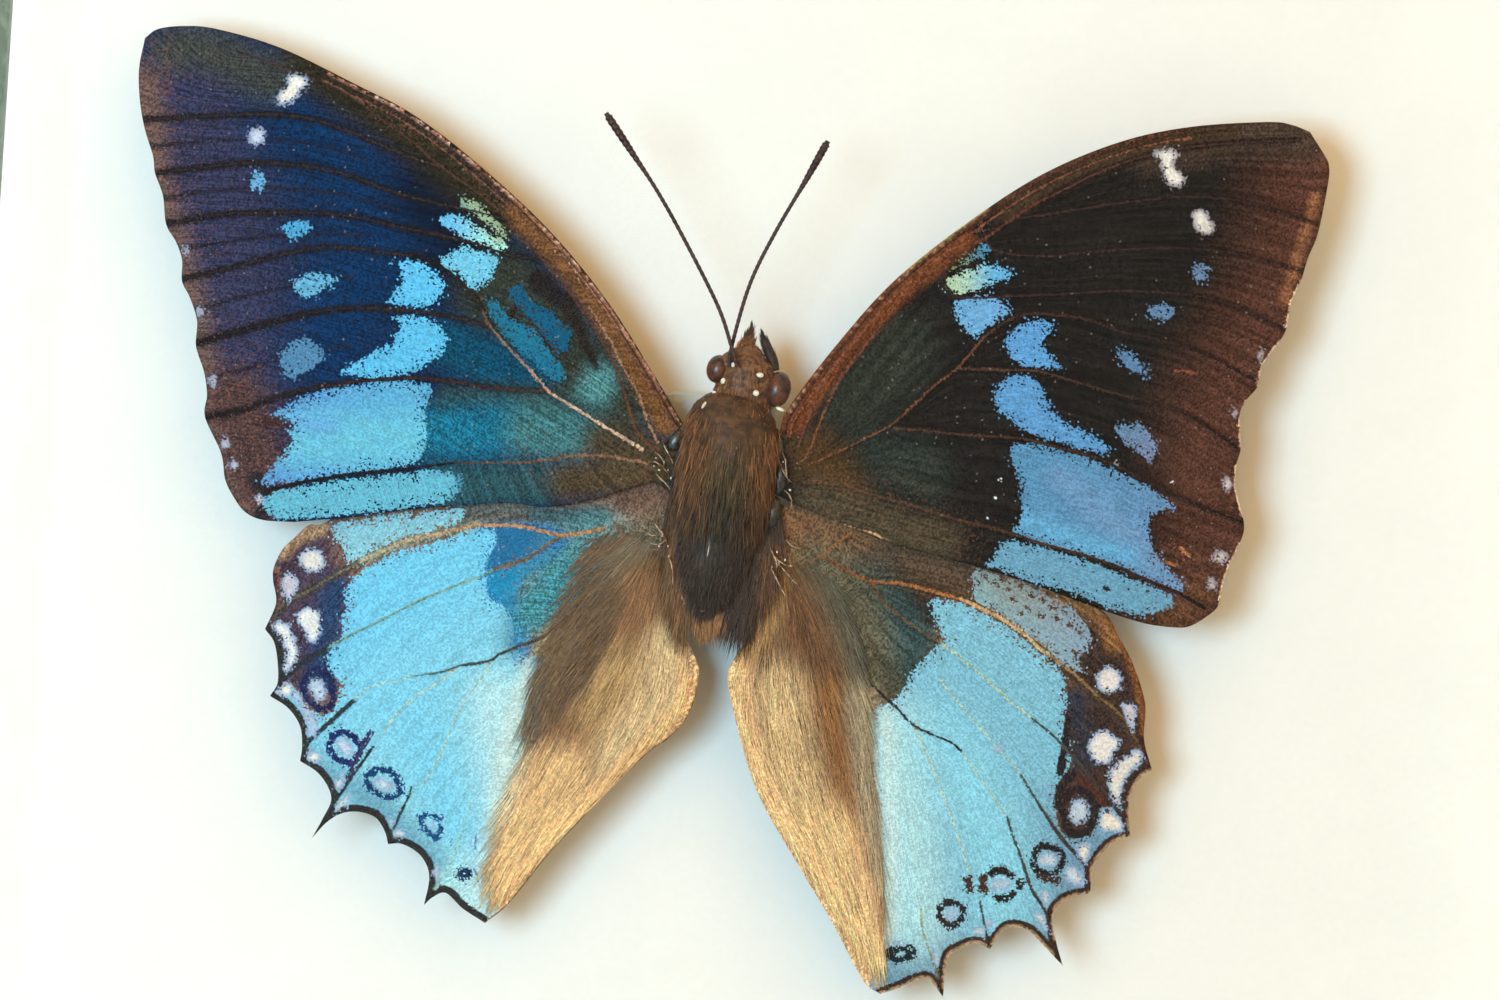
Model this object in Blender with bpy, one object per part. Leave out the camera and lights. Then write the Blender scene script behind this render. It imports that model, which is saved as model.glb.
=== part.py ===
"""A blue, sharp-tailed butterfly set with open wings in a shallow glazed box frame.

The frame stands on its bottom rail: X is to the right, Y points away from the viewer, Z is up, and the
origin is under the middle of the frame. Everything is in metres. The specimen's outlines are given as
places in the photograph (pixels right and down in a 1500 x 1000 picture), which is seen straight on,
and place() turns them into real positions with the scale that the forewing's length sets.
"""

import math

import bmesh
import bpy
from mathutils import Matrix, Vector
from mathutils.geometry import delaunay_2d_cdt

MM = 0.001
GAP = 0.3 * MM  # between pieces that touch
SHARP_ANGLE = math.radians(40)  # edges sharper than this are shaded as edges

# Steps between points: in pixels of the photograph, and for the legs in space
WING_OUTLINE_STEP, WING_GRID_STEP, WING_RIM_CLEARANCE = 11, 34, 15
ANTENNA_STEP = 12
LEG_STEP = 0.7 * MM

# Frame
OPENING_WIDTH, OPENING_HEIGHT = 102 * MM, 88 * MM
RAIL_WIDTH, FRAME_DEPTH = 12 * MM, 28 * MM
LIP_THICKNESS, REBATE = 3 * MM, 6 * MM
RAIL_CHAMFER, SIGHT_CHAMFER = 0.8 * MM, 1.5 * MM  # of the outer edges, of the edge round the opening
BACK_RECESS = 0.7 * MM  # from the rails' back faces to the back panel
GLASS_THICKNESS = 2 * MM
BOARD_THICKNESS, BACK_THICKNESS = 3 * MM, 2 * MM
SPACER_THICKNESS = 2.7 * MM

# Specimen
FOREWING_LENGTH = 45 * MM
WING_HEIGHT = 6.4 * MM  # of the wing plane over the backing board
WING_THICKNESS = 0.4 * MM
HINDWING_BEHIND = 0.9 * MM  # from the forewing's middle plane to the hindwing's
WING_DROOP = 0.9 * MM  # of the wing tips, towards the board
WING_ARCH = 0.5 * MM  # of the wings' middle, towards the viewer
BODY_AXIS_OVER_BOARD = 6.5 * MM
PAD_WIDTH, PAD_HEIGHT = 7.6 * MM, 10 * MM
PAD_EDGE = 0.7 * MM

# Depths, from the front of the frame to its back
FRONT_Y, BACK_Y = -FRAME_DEPTH / 2, FRAME_DEPTH / 2
LIP_BACK_Y = FRONT_Y + LIP_THICKNESS
GLASS_BACK_Y = LIP_BACK_Y + GAP + GLASS_THICKNESS
BOARD_FRONT_Y = BACK_Y - BACK_RECESS - BACK_THICKNESS - GAP - BOARD_THICKNESS
WING_Y = BOARD_FRONT_Y - WING_HEIGHT
BODY_Y = BOARD_FRONT_Y - BODY_AXIS_OVER_BOARD  # of the thorax
HEAD_Y = BODY_Y + 0.3 * MM
ABDOMEN_Y = PALP_Y = BODY_Y + 0.6 * MM
FRAME_HEIGHT = OPENING_HEIGHT + 2 * RAIL_WIDTH

# The photograph: its middle, the turn of the picture against the frame, and its scale
PICTURE_MIDDLE = (750, 500)
PICTURE_TURN = math.radians(3.7)
VIEW_DISTANCE = 0.42
MIDDLE_X, MIDDLE_Z = -0.6 * MM, FRAME_HEIGHT / 2
LEFT_WING_BASE, LEFT_WING_TIP = (661, 457), (145, 38)
PIXEL = FOREWING_LENGTH / math.dist(LEFT_WING_BASE, LEFT_WING_TIP)
BODY_LINE = ((748, 372), (704, 614))  # from the head to the tip of the abdomen

# Wing outlines. Each is a list of smooth runs that meet at corners: the last point of a run is the
# first of the next.
LEFT_FOREWING = [
    [(683, 424), (656, 378), (608, 302), (549, 230), (478, 164), (414, 115), (357, 85), (281, 48),
     (217, 29), (184, 26), (158, 29), (145, 38)],
    [(145, 38), (139, 69), (140, 102), (145, 130), (153, 156), (155, 173), (163, 196), (166, 224),
     (176, 242), (182, 260), (182, 281), (190, 298), (197, 321), (196, 346), (204, 372), (207, 395),
     (205, 417), (221, 453), (225, 479), (233, 496), (245, 512), (263, 520), (294, 522)],
    [(294, 522), (355, 517), (406, 510), (500, 503), (546, 507), (593, 500), (641, 484), (664, 482)],
    [(664, 482), (679, 480)],
    [(679, 480), (679, 460), (665, 454), (666, 445), (683, 424)],
]
RIGHT_FOREWING = [
    [(779, 434), (788, 409), (834, 348), (893, 282), (967, 223), (1043, 174), (1120, 142), (1190, 127),
     (1267, 122), (1292, 125), (1310, 132)],
    [(1310, 132), (1325, 156), (1329, 166), (1328, 184), (1318, 233), (1308, 258), (1301, 281),
     (1291, 304), (1287, 327), (1280, 341), (1263, 365), (1258, 386), (1246, 401), (1240, 419),
     (1241, 447), (1236, 467), (1236, 490), (1244, 523), (1240, 543), (1225, 576), (1219, 604),
     (1206, 617), (1187, 627), (1167, 627)],
    [(1167, 627), (1143, 623), (1105, 611), (1029, 583), (978, 567), (888, 542), (850, 527), (819, 515),
     (795, 504), (779, 496)],
    [(779, 496), (779, 434)],
]
LEFT_HINDWING = [
    [(670, 492), (640, 476), (560, 464), (470, 462), (390, 478), (328, 521), (309, 525), (294, 538),
     (282, 550), (274, 567), (273, 580), (276, 603), (265, 629)],
    [(265, 629), (275, 645), (278, 680), (270, 696)],
    [(270, 696), (288, 708), (300, 726), (302, 747), (300, 761)],
    [(300, 761), (317, 772), (328, 787), (331, 801), (323, 818), (312, 838)],
    [(312, 838), (327, 822), (343, 813), (360, 812), (376, 818), (385, 832), (388, 844)],
    [(388, 844), (402, 844), (418, 853), (427, 866), (429, 881), (424, 905)],
    [(424, 905), (433, 897), (446, 893), (462, 908), (485, 923)],
    [(485, 923), (510, 902), (557, 845), (640, 760), (670, 737), (690, 712), (699, 676), (694, 655),
     (676, 620), (664, 575), (664, 530), (670, 492)],
]
RIGHT_HINDWING = [
    [(781, 505), (830, 506), (880, 515), (950, 530), (1020, 556), (1072, 592), (1105, 613), (1120, 639),
     (1133, 664), (1145, 703), (1144, 739), (1152, 770)],
    [(1152, 770), (1141, 777), (1133, 790), (1129, 803), (1130, 836)],
    [(1130, 836), (1116, 841), (1103, 852), (1093, 868), (1090, 893)],
    [(1090, 893), (1066, 899), (1053, 915), (1056, 941), (1063, 966)],
    [(1063, 966), (1043, 945), (1030, 932), (1016, 927), (1003, 930), (990, 949)],
    [(990, 949), (976, 943), (959, 949), (947, 960), (943, 997)],
    [(943, 997), (934, 985), (924, 978), (896, 989), (880, 994)],
    [(880, 994), (863, 980), (832, 922), (800, 868), (761, 800), (742, 745), (728, 684), (732, 663),
     (746, 638), (754, 610), (763, 580), (776, 550), (781, 505)],
]

# The body's rings: place in the photograph, half width and half depth
ABDOMEN = [
    ((720, 527), 2.4 * MM, 2.2 * MM),
    ((718, 538), 2.75 * MM, 2.5 * MM),
    ((713, 560), 2.55 * MM, 2.35 * MM),
    ((708, 584), 1.9 * MM, 1.8 * MM),
    ((705, 602), 1.15 * MM, 1.1 * MM),
    ((703, 613), 0.35 * MM, 0.35 * MM),
]
THORAX = [
    ((741, 402), 1.3 * MM, 1.4 * MM),
    ((738, 412), 2.1 * MM, 2.3 * MM),
    ((733, 432), 2.75 * MM, 3.3 * MM),
    ((728, 462), 2.9 * MM, 3.6 * MM),
    ((723, 495), 2.8 * MM, 3.2 * MM),
    ((721, 513), 2.3 * MM, 2.5 * MM),
    ((720, 521), 1.5 * MM, 1.7 * MM),
]
HEAD = [
    ((752, 353), 0.35 * MM, 0.4 * MM),
    ((750, 359), 0.75 * MM, 0.9 * MM),
    ((748, 372), 1.0 * MM, 1.4 * MM),
    ((746, 385), 0.95 * MM, 1.3 * MM),
    ((743, 394), 0.6 * MM, 0.8 * MM),
]
LEFT_PALP = [
    ((746, 348), 0.7 * MM, 0.6 * MM),
    ((748, 340), 0.5 * MM, 0.5 * MM),
    ((752, 326), 0.08 * MM, 0.08 * MM),
]
RIGHT_PALP = [
    ((771, 364), 0.42 * MM, 0.5 * MM),
    ((768, 350), 0.42 * MM, 0.45 * MM),
    ((762, 333), 0.08 * MM, 0.08 * MM),
]
EYES = {  # middle, half width, half height, half depth
    "eye_left": ((716, 369), 0.72 * MM, 0.86 * MM, 0.85 * MM),
    "eye_right": ((779, 390), 0.84 * MM, 1.2 * MM, 1.0 * MM),
}
EYE_TILT = math.radians(8)
LEFT_ANTENNA = [(737, 367), (731, 345), (717, 304), (682, 235), (656, 189), (633, 154), (606, 113)]
RIGHT_ANTENNA = [(729, 367), (732, 345), (750, 284), (775, 233), (806, 180), (828, 141)]
LEFT_ANTENNA_DEPTHS = (1.75 * MM, 3.4 * MM)  # of its base and its tip, in front of the thorax's axis
RIGHT_ANTENNA_DEPTHS = (1.1 * MM, 2.6 * MM)
ANTENNA_RADIUS, CLUB_RADIUS = 0.14 * MM, 0.27 * MM
CLUB_SHARE, CLUB_FULL_SHARE = 0.3, 0.06  # of the antenna's length: the club, and its end at full radius
LEG_RADIUS, TOE_RADIUS = 0.28 * MM, 0.154 * MM
LEG_DEPTHS = (2.8 * MM, 4.2 * MM, 4.6 * MM, 5.2 * MM)  # of a leg's joints, behind the body's axis
LEGS = {  # hip, knee, ankle and toe, folded in the space between the wings and the board
    "leg_mid_left": [(672, 468), (628, 446), (606, 500), (612, 548)],
    "leg_hind_left": [(674, 500), (640, 510), (636, 570), (655, 622)],
    "leg_mid_right": [(784, 470), (826, 458), (842, 512), (828, 556)],
    "leg_hind_right": [(786, 512), (822, 530), (816, 588), (790, 632)],
}


def clear_scene():
    for thing in list(bpy.context.scene.objects):
        bpy.data.objects.remove(thing, do_unlink=True)


def material(name, colour, roughness, metallic=0.0, alpha=1.0):
    made = bpy.data.materials.get(name)
    if made is None:
        made = bpy.data.materials.new(name)
        made.use_nodes = True
        shader = made.node_tree.nodes["Principled BSDF"]
        shader.inputs["Base Color"].default_value = (*colour, 1)
        shader.inputs["Roughness"].default_value = roughness
        shader.inputs["Metallic"].default_value = metallic
        shader.inputs["Alpha"].default_value = alpha
    return made


def add_object(name, points, faces, look, smooth=True):
    """A closed mesh as a scene object, its faces turned outwards."""
    mesh = bpy.data.meshes.new(name)
    mesh.from_pydata([tuple(p) for p in points], [], faces)
    shape = bmesh.new()
    shape.from_mesh(mesh)
    bmesh.ops.recalc_face_normals(shape, faces=shape.faces)
    shape.to_mesh(mesh)
    shape.free()
    mesh.materials.append(look)
    if smooth:
        mesh.shade_smooth()
        mesh.set_sharp_from_angle(angle=SHARP_ANGLE)
    made = bpy.data.objects.new(name, mesh)
    bpy.context.scene.collection.objects.link(made)
    return made


def add_box(name, low, high, look):
    corners = [(x, y, z) for x in (low[0], high[0]) for y in (low[1], high[1]) for z in (low[2], high[2])]
    sides = [(0, 1, 3, 2), (4, 6, 7, 5), (0, 4, 5, 1), (2, 3, 7, 6), (0, 2, 6, 4), (1, 5, 7, 3)]
    return add_object(name, corners, sides, look, smooth=False)


def place(spot, y):
    """The position at depth y that the photograph shows at this pixel."""
    across = (spot[0] - PICTURE_MIDDLE[0]) * PIXEL
    up = (PICTURE_MIDDLE[1] - spot[1]) * PIXEL
    reach = 1 + (y - WING_Y) / VIEW_DISTANCE
    x = MIDDLE_X + reach * (across * math.cos(PICTURE_TURN) - up * math.sin(PICTURE_TURN))
    z = MIDDLE_Z + reach * (across * math.sin(PICTURE_TURN) + up * math.cos(PICTURE_TURN))
    return Vector((x, y, z))


def smooth_run(points, step):
    """Points along a Catmull-Rom curve through the given ones, about a step apart, without the last."""
    line = [Vector(p) for p in points]
    before, after = 2 * line[0] - line[1], 2 * line[-1] - line[-2]
    padded = [before, *line, after]
    made = []
    for a, b, c, d in zip(padded, padded[1:], padded[2:], padded[3:]):
        count = max(1, round((c - b).length / step))
        for i in range(count):
            t = i / count
            made.append(0.5 * (2 * b + t * (c - a) + t * t * (2 * a - 5 * b + 4 * c - d)
                               + t ** 3 * (3 * b - a - 3 * c + d)))
    return made


def from_body_line(spot):
    """How far this pixel is from the line of the body, in metres."""
    head, tail = Vector(BODY_LINE[0]), Vector(BODY_LINE[1])
    along = (tail - head).normalized()
    away = Vector(spot) - head
    return abs(away.x * along.y - away.y * along.x) * PIXEL


def wing_depth(spot):
    """The Y of the forewings' middle plane: arched towards the viewer, drooping to the tip."""
    share = min(from_body_line(spot) / FOREWING_LENGTH, 1)
    return WING_Y + WING_DROOP * share ** 2 - WING_ARCH * math.sin(math.pi * share)


def inside(spot, outline):
    crossings = 0
    for a, b in zip(outline, outline[1:] + outline[:1]):
        if (a.y > spot[1]) != (b.y > spot[1]):
            crossings += a.x + (spot[1] - a.y) / (b.y - a.y) * (b.x - a.x) > spot[0]
    return crossings % 2 == 1


def add_wing(name, runs, behind, look):
    """A thin solid over the outline, its two faces parallel to the wing's curved middle plane."""
    outline = [p for run in runs for p in smooth_run(run, WING_OUTLINE_STEP)]
    left, right = min(p.x for p in outline), max(p.x for p in outline)
    top, bottom = min(p.y for p in outline), max(p.y for p in outline)
    spots = list(outline)
    for row in range(int((bottom - top) / WING_GRID_STEP)):
        for column in range(int((right - left) / WING_GRID_STEP)):
            steps_across = column + 0.5 * (row % 2 + 1)
            spot = Vector((left + steps_across * WING_GRID_STEP, top + (row + 0.5) * WING_GRID_STEP))
            clear = min((spot - p).length for p in outline) > WING_RIM_CLEARANCE
            if clear and inside(spot, outline):
                spots.append(spot)
    rim = len(outline)
    sheet = delaunay_2d_cdt(spots, [], [list(range(rim))], 1, 1e-5)
    spots, triangles, sources = sheet[0], sheet[2], sheet[3]
    count = len(spots)
    points = []
    for side in (-0.5, 0.5):
        for spot in spots:
            points.append(place(spot, wing_depth(spot) + behind + side * WING_THICKNESS))
    order = {source: new for new, old in enumerate(sources) for source in old}
    ring = [order[i] for i in range(rim)]
    faces = [tuple(t) for t in triangles]
    faces += [tuple(i + count for i in reversed(t)) for t in triangles]
    faces += [(a, b, b + count, a + count) for a, b in zip(ring, ring[1:] + ring[:1])]
    return add_object(name, points, faces, look)


def add_loft(name, rings, depth, look, sides, steps=3):
    """A rounded body through elliptical rings, closed by a point at each end."""
    line = [Vector((*ring[0], 0)) for ring in rings]
    sizes = [Vector((ring[1], ring[2], 0)) / PIXEL for ring in rings]
    pairs = [Vector((p.x, p.y, s.x, s.y)) for p, s in zip(line, sizes)]
    fine = []
    for a, b in zip(pairs, pairs[1:]):
        fine += [a.lerp(b, i / steps) for i in range(steps)]
    fine.append(pairs[-1])
    fine = soften(fine, steps)
    points, faces = [], []
    for i, ring in enumerate(fine):
        before, after = fine[max(i - 1, 0)], fine[min(i + 1, len(fine) - 1)]
        along = Vector((after.x - before.x, after.y - before.y)).normalized()
        for k in range(sides):
            turn = 2 * math.pi * k / sides
            aside = ring.z * math.cos(turn)
            spot = (ring.x - along.y * aside, ring.y + along.x * aside)
            points.append(place(spot, depth + ring.w * PIXEL * math.sin(turn)))
    for i in range(len(fine) - 1):
        for k in range(sides):
            here, beside = i * sides + k, i * sides + (k + 1) % sides
            faces.append((here, beside, beside + sides, here + sides))
    first, last = len(points), len(points) + 1
    points += [place(fine[0].xy, depth), place(fine[-1].xy, depth)]
    for k in range(sides):
        faces.append((first, (k + 1) % sides, k))
        end = (len(fine) - 1) * sides
        faces.append((last, end + k, end + (k + 1) % sides))
    return add_object(name, points, faces, look)


def soften(rings, rounds):
    """Averages each ring with its neighbours, so that straight lofts become round ones."""
    for _ in range(rounds):
        middle = [(a + 2 * b + c) / 4 for a, b, c in zip(rings, rings[1:], rings[2:])]
        rings = [rings[0], *middle, rings[-1]]
    return rings


def add_tube(name, points, radius_at, look, bevel_resolution=2):
    """A tube along points, with radius_at(share of its length) as its radius."""
    curve = bpy.data.curves.new(name, "CURVE")
    curve.dimensions = "3D"
    curve.bevel_depth = 1.0
    curve.bevel_resolution = bevel_resolution
    curve.use_fill_caps = True
    line = curve.splines.new("POLY")
    line.points.add(len(points) - 1)
    for i, point in enumerate(points):
        line.points[i].co = (*point, 1)
        line.points[i].radius = radius_at(i / (len(points) - 1))
    curve.materials.append(look)
    made = bpy.data.objects.new(name, curve)
    bpy.context.scene.collection.objects.link(made)
    return made


def build_frame():
    """Four mitred rails: a front lip, a rebate behind it for what the frame holds."""
    paint = material("painted wood", (0.17, 0.25, 0.21), 0.45)
    outer, chamfer = RAIL_WIDTH, RAIL_CHAMFER
    profile = [  # distance out from the opening, depth
        (0, FRONT_Y + SIGHT_CHAMFER), (SIGHT_CHAMFER, FRONT_Y), (outer - chamfer, FRONT_Y),
        (outer, FRONT_Y + chamfer), (outer, BACK_Y - chamfer), (outer - chamfer, BACK_Y),
        (REBATE, BACK_Y), (REBATE, LIP_BACK_Y), (0, LIP_BACK_Y),
    ]
    half_width, half_height = OPENING_WIDTH / 2, OPENING_HEIGHT / 2
    mitre_gap = GAP / math.sqrt(2)
    sides = {
        "frame_rail_bottom": (Vector((0, 0, -1)), Vector((1, 0, 0)), half_height, half_width),
        "frame_rail_top": (Vector((0, 0, 1)), Vector((1, 0, 0)), half_height, half_width),
        "frame_rail_left": (Vector((-1, 0, 0)), Vector((0, 0, 1)), half_width, half_height),
        "frame_rail_right": (Vector((1, 0, 0)), Vector((0, 0, 1)), half_width, half_height),
    }
    for name, (out, along, to_edge, half_length) in sides.items():
        points = []
        for end in (-1, 1):
            for away, y in profile:
                length = half_length + away - mitre_gap
                spot = out * (to_edge + away) + along * (end * length)
                points.append((spot.x, y, spot.z + FRAME_HEIGHT / 2))
        count = len(profile)
        faces = [tuple(range(count)), tuple(reversed(range(count, 2 * count)))]
        faces += [(i, (i + 1) % count, (i + 1) % count + count, i + count) for i in range(count)]
        add_object(name, points, faces, paint, smooth=False)


def build_filling():
    """The pane, the spacers behind it, the white board and the back panel, all inside the rebate."""
    reach = REBATE - GAP
    half_width, half_height = OPENING_WIDTH / 2 + reach, OPENING_HEIGHT / 2 + reach
    middle = FRAME_HEIGHT / 2
    pane_glass = material("glass", (0.95, 1, 0.97), 0.02, alpha=0.15)
    white = material("white board", (0.9, 0.89, 0.85), 0.85)
    brown = material("fibreboard", (0.42, 0.29, 0.18), 0.8)
    layers = {
        "glass_pane": (LIP_BACK_Y + GAP, GLASS_THICKNESS, pane_glass),
        "backing_board": (BOARD_FRONT_Y, BOARD_THICKNESS, white),
        "back_panel": (BOARD_FRONT_Y + BOARD_THICKNESS + GAP, BACK_THICKNESS, brown),
    }
    for name, (front, thickness, look) in layers.items():
        low = (-half_width, front, middle - half_height)
        high = (half_width, front + thickness, middle + half_height)
        add_box(name, low, high, look)
    near, far = GLASS_BACK_Y + GAP, BOARD_FRONT_Y - GAP
    foam = material("foam board", (0.88, 0.87, 0.84), 0.8)
    inner_height = half_height - SPACER_THICKNESS - GAP
    for name, side in (("spacer_left", -1), ("spacer_right", 1)):
        edges = sorted((side * (half_width - SPACER_THICKNESS), side * half_width))
        add_box(name, (edges[0], near, middle - inner_height), (edges[1], far, middle + inner_height), foam)
    for name, side in (("spacer_bottom", -1), ("spacer_top", 1)):
        edges = sorted((middle + side * (half_height - SPACER_THICKNESS), middle + side * half_height))
        add_box(name, (-half_width, near, edges[0]), (half_width, far, edges[1]), foam)


def build_pad():
    """The translucent block under the thorax that holds the specimen off the board."""
    thorax_back = BODY_Y + max(ring[2] for ring in THORAX)
    corner = place((665, 391), BOARD_FRONT_Y)
    low = (corner.x, thorax_back + GAP, corner.z - PAD_HEIGHT)
    high = (corner.x + PAD_WIDTH, BOARD_FRONT_Y - GAP, corner.z)
    pad = add_box("mounting_pad", low, high, material("grey acrylic", (0.62, 0.66, 0.64), 0.3))
    edge = pad.modifiers.new("Rounding", "BEVEL")
    edge.width, edge.segments = PAD_EDGE, 2


def build_body():
    hair = material("brown hair", (0.13, 0.07, 0.03), 0.8)
    dark = material("dark abdomen", (0.06, 0.045, 0.035), 0.6)
    add_loft("thorax", THORAX, BODY_Y, hair, sides=16)
    add_loft("abdomen", ABDOMEN, ABDOMEN_Y, dark, sides=16)
    add_loft("head", HEAD, HEAD_Y, hair, sides=12, steps=2)
    add_loft("palp_left", LEFT_PALP, PALP_Y, hair, sides=8, steps=2)
    add_loft("palp_right", RIGHT_PALP, PALP_Y, hair, sides=8, steps=2)


def build_eyes():
    glossy = material("eye", (0.12, 0.03, 0.02), 0.15)
    for name, (spot, half_width, half_height, half_depth) in EYES.items():
        ball = bmesh.new()
        bmesh.ops.create_uvsphere(ball, u_segments=16, v_segments=10, radius=1)
        mesh = bpy.data.meshes.new(name)
        ball.to_mesh(mesh)
        ball.free()
        mesh.transform(Matrix.Diagonal((half_width, half_depth, half_height, 1)))
        mesh.materials.append(glossy)
        mesh.shade_smooth()
        eye = bpy.data.objects.new(name, mesh)
        eye.location = place(spot, HEAD_Y)
        eye.rotation_euler = (0, PICTURE_TURN + EYE_TILT, 0)
        bpy.context.scene.collection.objects.link(eye)


def build_antennae():
    """The left one passes in front of the right one where they cross."""
    horn = material("antenna", (0.05, 0.03, 0.025), 0.5)

    def radius_at(share):
        swelling = (share - (1 - CLUB_SHARE)) / (CLUB_SHARE - CLUB_FULL_SHARE)
        swelling = min(max(swelling, 0), 1)
        return ANTENNA_RADIUS + (CLUB_RADIUS - ANTENNA_RADIUS) * math.sin(swelling * math.pi / 2) ** 2

    for name, spots, (base, tip) in (
        ("antenna_left", LEFT_ANTENNA, LEFT_ANTENNA_DEPTHS),
        ("antenna_right", RIGHT_ANTENNA, RIGHT_ANTENNA_DEPTHS),
    ):
        line = smooth_run(spots, ANTENNA_STEP) + [Vector(spots[-1])]
        count = len(line) - 1
        points = [place(spot, BODY_Y - base - (tip - base) * i / count) for i, spot in enumerate(line)]
        add_tube(name, points, radius_at, horn)


def build_wings():
    left = material("blue wing", (0.02, 0.12, 0.42), 0.5)
    right = material("dark wing", (0.04, 0.03, 0.05), 0.5)
    hind = material("sky blue wing", (0.12, 0.42, 0.68), 0.5)
    add_wing("forewing_left", LEFT_FOREWING, 0, left)
    add_wing("forewing_right", RIGHT_FOREWING, 0, right)
    add_wing("hindwing_left", LEFT_HINDWING, HINDWING_BEHIND, hind)
    add_wing("hindwing_right", RIGHT_HINDWING, HINDWING_BEHIND, hind)


def build_legs():
    horn = material("leg", (0.16, 0.09, 0.05), 0.6)
    for name, spots in LEGS.items():
        joints = [place(spot, BODY_Y + depth) for spot, depth in zip(spots, LEG_DEPTHS)]
        line = smooth_run([tuple(joint) for joint in joints], LEG_STEP) + [joints[-1]]
        taper = LEG_RADIUS - TOE_RADIUS
        add_tube(name, line, lambda share: LEG_RADIUS - taper * share, horn, bevel_resolution=1)


clear_scene()
build_frame()
build_filling()
build_pad()
build_body()
build_eyes()
build_antennae()
build_wings()
build_legs()
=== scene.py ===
"""The looks of a set butterfly in a shallow glazed box frame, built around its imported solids.

X is to the right, Y points away from the viewer, Z is up, and everything is in metres. Outlines, veins and
markings are given as places in the photograph (pixels right and down in a 1500 x 1000 picture) and place()
turns them into positions, as in the part's source.
"""

import math

import bmesh
import bpy
import numpy as np
from mathutils import Matrix, Vector
from mathutils.geometry import delaunay_2d_cdt


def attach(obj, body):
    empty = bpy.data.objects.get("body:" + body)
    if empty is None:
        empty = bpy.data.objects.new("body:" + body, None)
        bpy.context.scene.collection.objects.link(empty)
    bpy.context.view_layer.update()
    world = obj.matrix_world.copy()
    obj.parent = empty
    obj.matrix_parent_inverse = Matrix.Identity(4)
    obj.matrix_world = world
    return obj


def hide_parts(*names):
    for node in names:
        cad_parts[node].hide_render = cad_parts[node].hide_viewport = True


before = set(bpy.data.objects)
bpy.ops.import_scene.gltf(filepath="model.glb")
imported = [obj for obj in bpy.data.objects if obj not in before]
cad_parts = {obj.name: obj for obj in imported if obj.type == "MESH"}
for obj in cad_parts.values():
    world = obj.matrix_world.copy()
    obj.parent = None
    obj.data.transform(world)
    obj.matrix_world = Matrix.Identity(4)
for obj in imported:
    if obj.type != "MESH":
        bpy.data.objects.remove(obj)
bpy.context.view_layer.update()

MM = 0.001
FRAME_HEIGHT = 112 * MM
SIDES = ("bottom", "top", "left", "right")
FOREWING_LENGTH = 45 * MM
WING_HEIGHT = 6.4 * MM  # of the wing plane over the backing board
HINDWING_BEHIND = 0.9 * MM
WING_DROOP, WING_ARCH = 0.9 * MM, 0.5 * MM
MEMBRANE = 0.12 * MM  # the thickness of a wing as it shows
BOARD_FRONT_Y = 8 * MM
WING_Y = BOARD_FRONT_Y - WING_HEIGHT
BODY_Y = BOARD_FRONT_Y - 6.5 * MM
THORAX_Y = HEAD_Y = BODY_Y + 0.2 * MM
ABDOMEN_Y = LEFT_PALP_Y = BODY_Y + 0.5 * MM
RIGHT_PALP_Y = BODY_Y + 0.6 * MM

PICTURE_MIDDLE = (750, 500)
PICTURE_WIDTH = 1500
PICTURE_TURN = math.radians(3.7)
VIEW_DISTANCE = 0.42
MIDDLE_X, MIDDLE_Z = -0.6 * MM, FRAME_HEIGHT / 2
PIXEL = FOREWING_LENGTH / math.dist((661, 457), (145, 38))
BODY_LINE = ((748, 372), (704, 614))  # from the head to the tip of the abdomen
FAR_INSIDE = 60.0  # pixels: the most that a field says of how deep a spot lies inside an area
STAGE_LIGHT = np.array([1.17, 1.16, 1.11])  # about what the lights make of a matte white facing the viewer

# Pixels between the points of a wing's front and of its back, and the share of the hairs that is made
FRONT_SPACING, BACK_SPACING = 2.0, 16
HAIR_SHARE = 1.0

rng = np.random.default_rng(7)


# --- Places and lines in the photograph ---------------------------------------------------------------


def place(spots, y):
    """The positions at depth y (one number, or one a spot) that the photograph shows at these pixels."""
    spots = np.asarray(spots, float)
    across = (spots[..., 0] - PICTURE_MIDDLE[0]) * PIXEL
    up = (PICTURE_MIDDLE[1] - spots[..., 1]) * PIXEL
    reach = 1 + (y - WING_Y) / VIEW_DISTANCE
    x = MIDDLE_X + reach * (across * math.cos(PICTURE_TURN) - up * math.sin(PICTURE_TURN))
    z = MIDDLE_Z + reach * (across * math.sin(PICTURE_TURN) + up * math.cos(PICTURE_TURN))
    return np.stack([x, np.broadcast_to(y, x.shape), z], -1)


def smooth_line(points, step, closed=False):
    """Points about a step apart along a Catmull-Rom curve through the given ones."""
    points = np.asarray(points, float)
    if closed:
        padded = np.vstack([points[-1:], points, points[:2]])
    else:
        padded = np.vstack([2 * points[0] - points[1], points, 2 * points[-1] - points[-2]])
    made = []
    for a, b, c, d in zip(padded, padded[1:], padded[2:], padded[3:]):
        count = max(1, round(np.linalg.norm(c - b) / step))
        t = (np.arange(count) / count)[:, None]
        made.append(0.5 * (2 * b + t * (c - a) + t * t * (2 * a - 5 * b + 4 * c - d)
                           + t ** 3 * (3 * b - a - 3 * c + d)))
    if not closed:
        made.append(points[-1:])
    return np.vstack(made)


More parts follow.
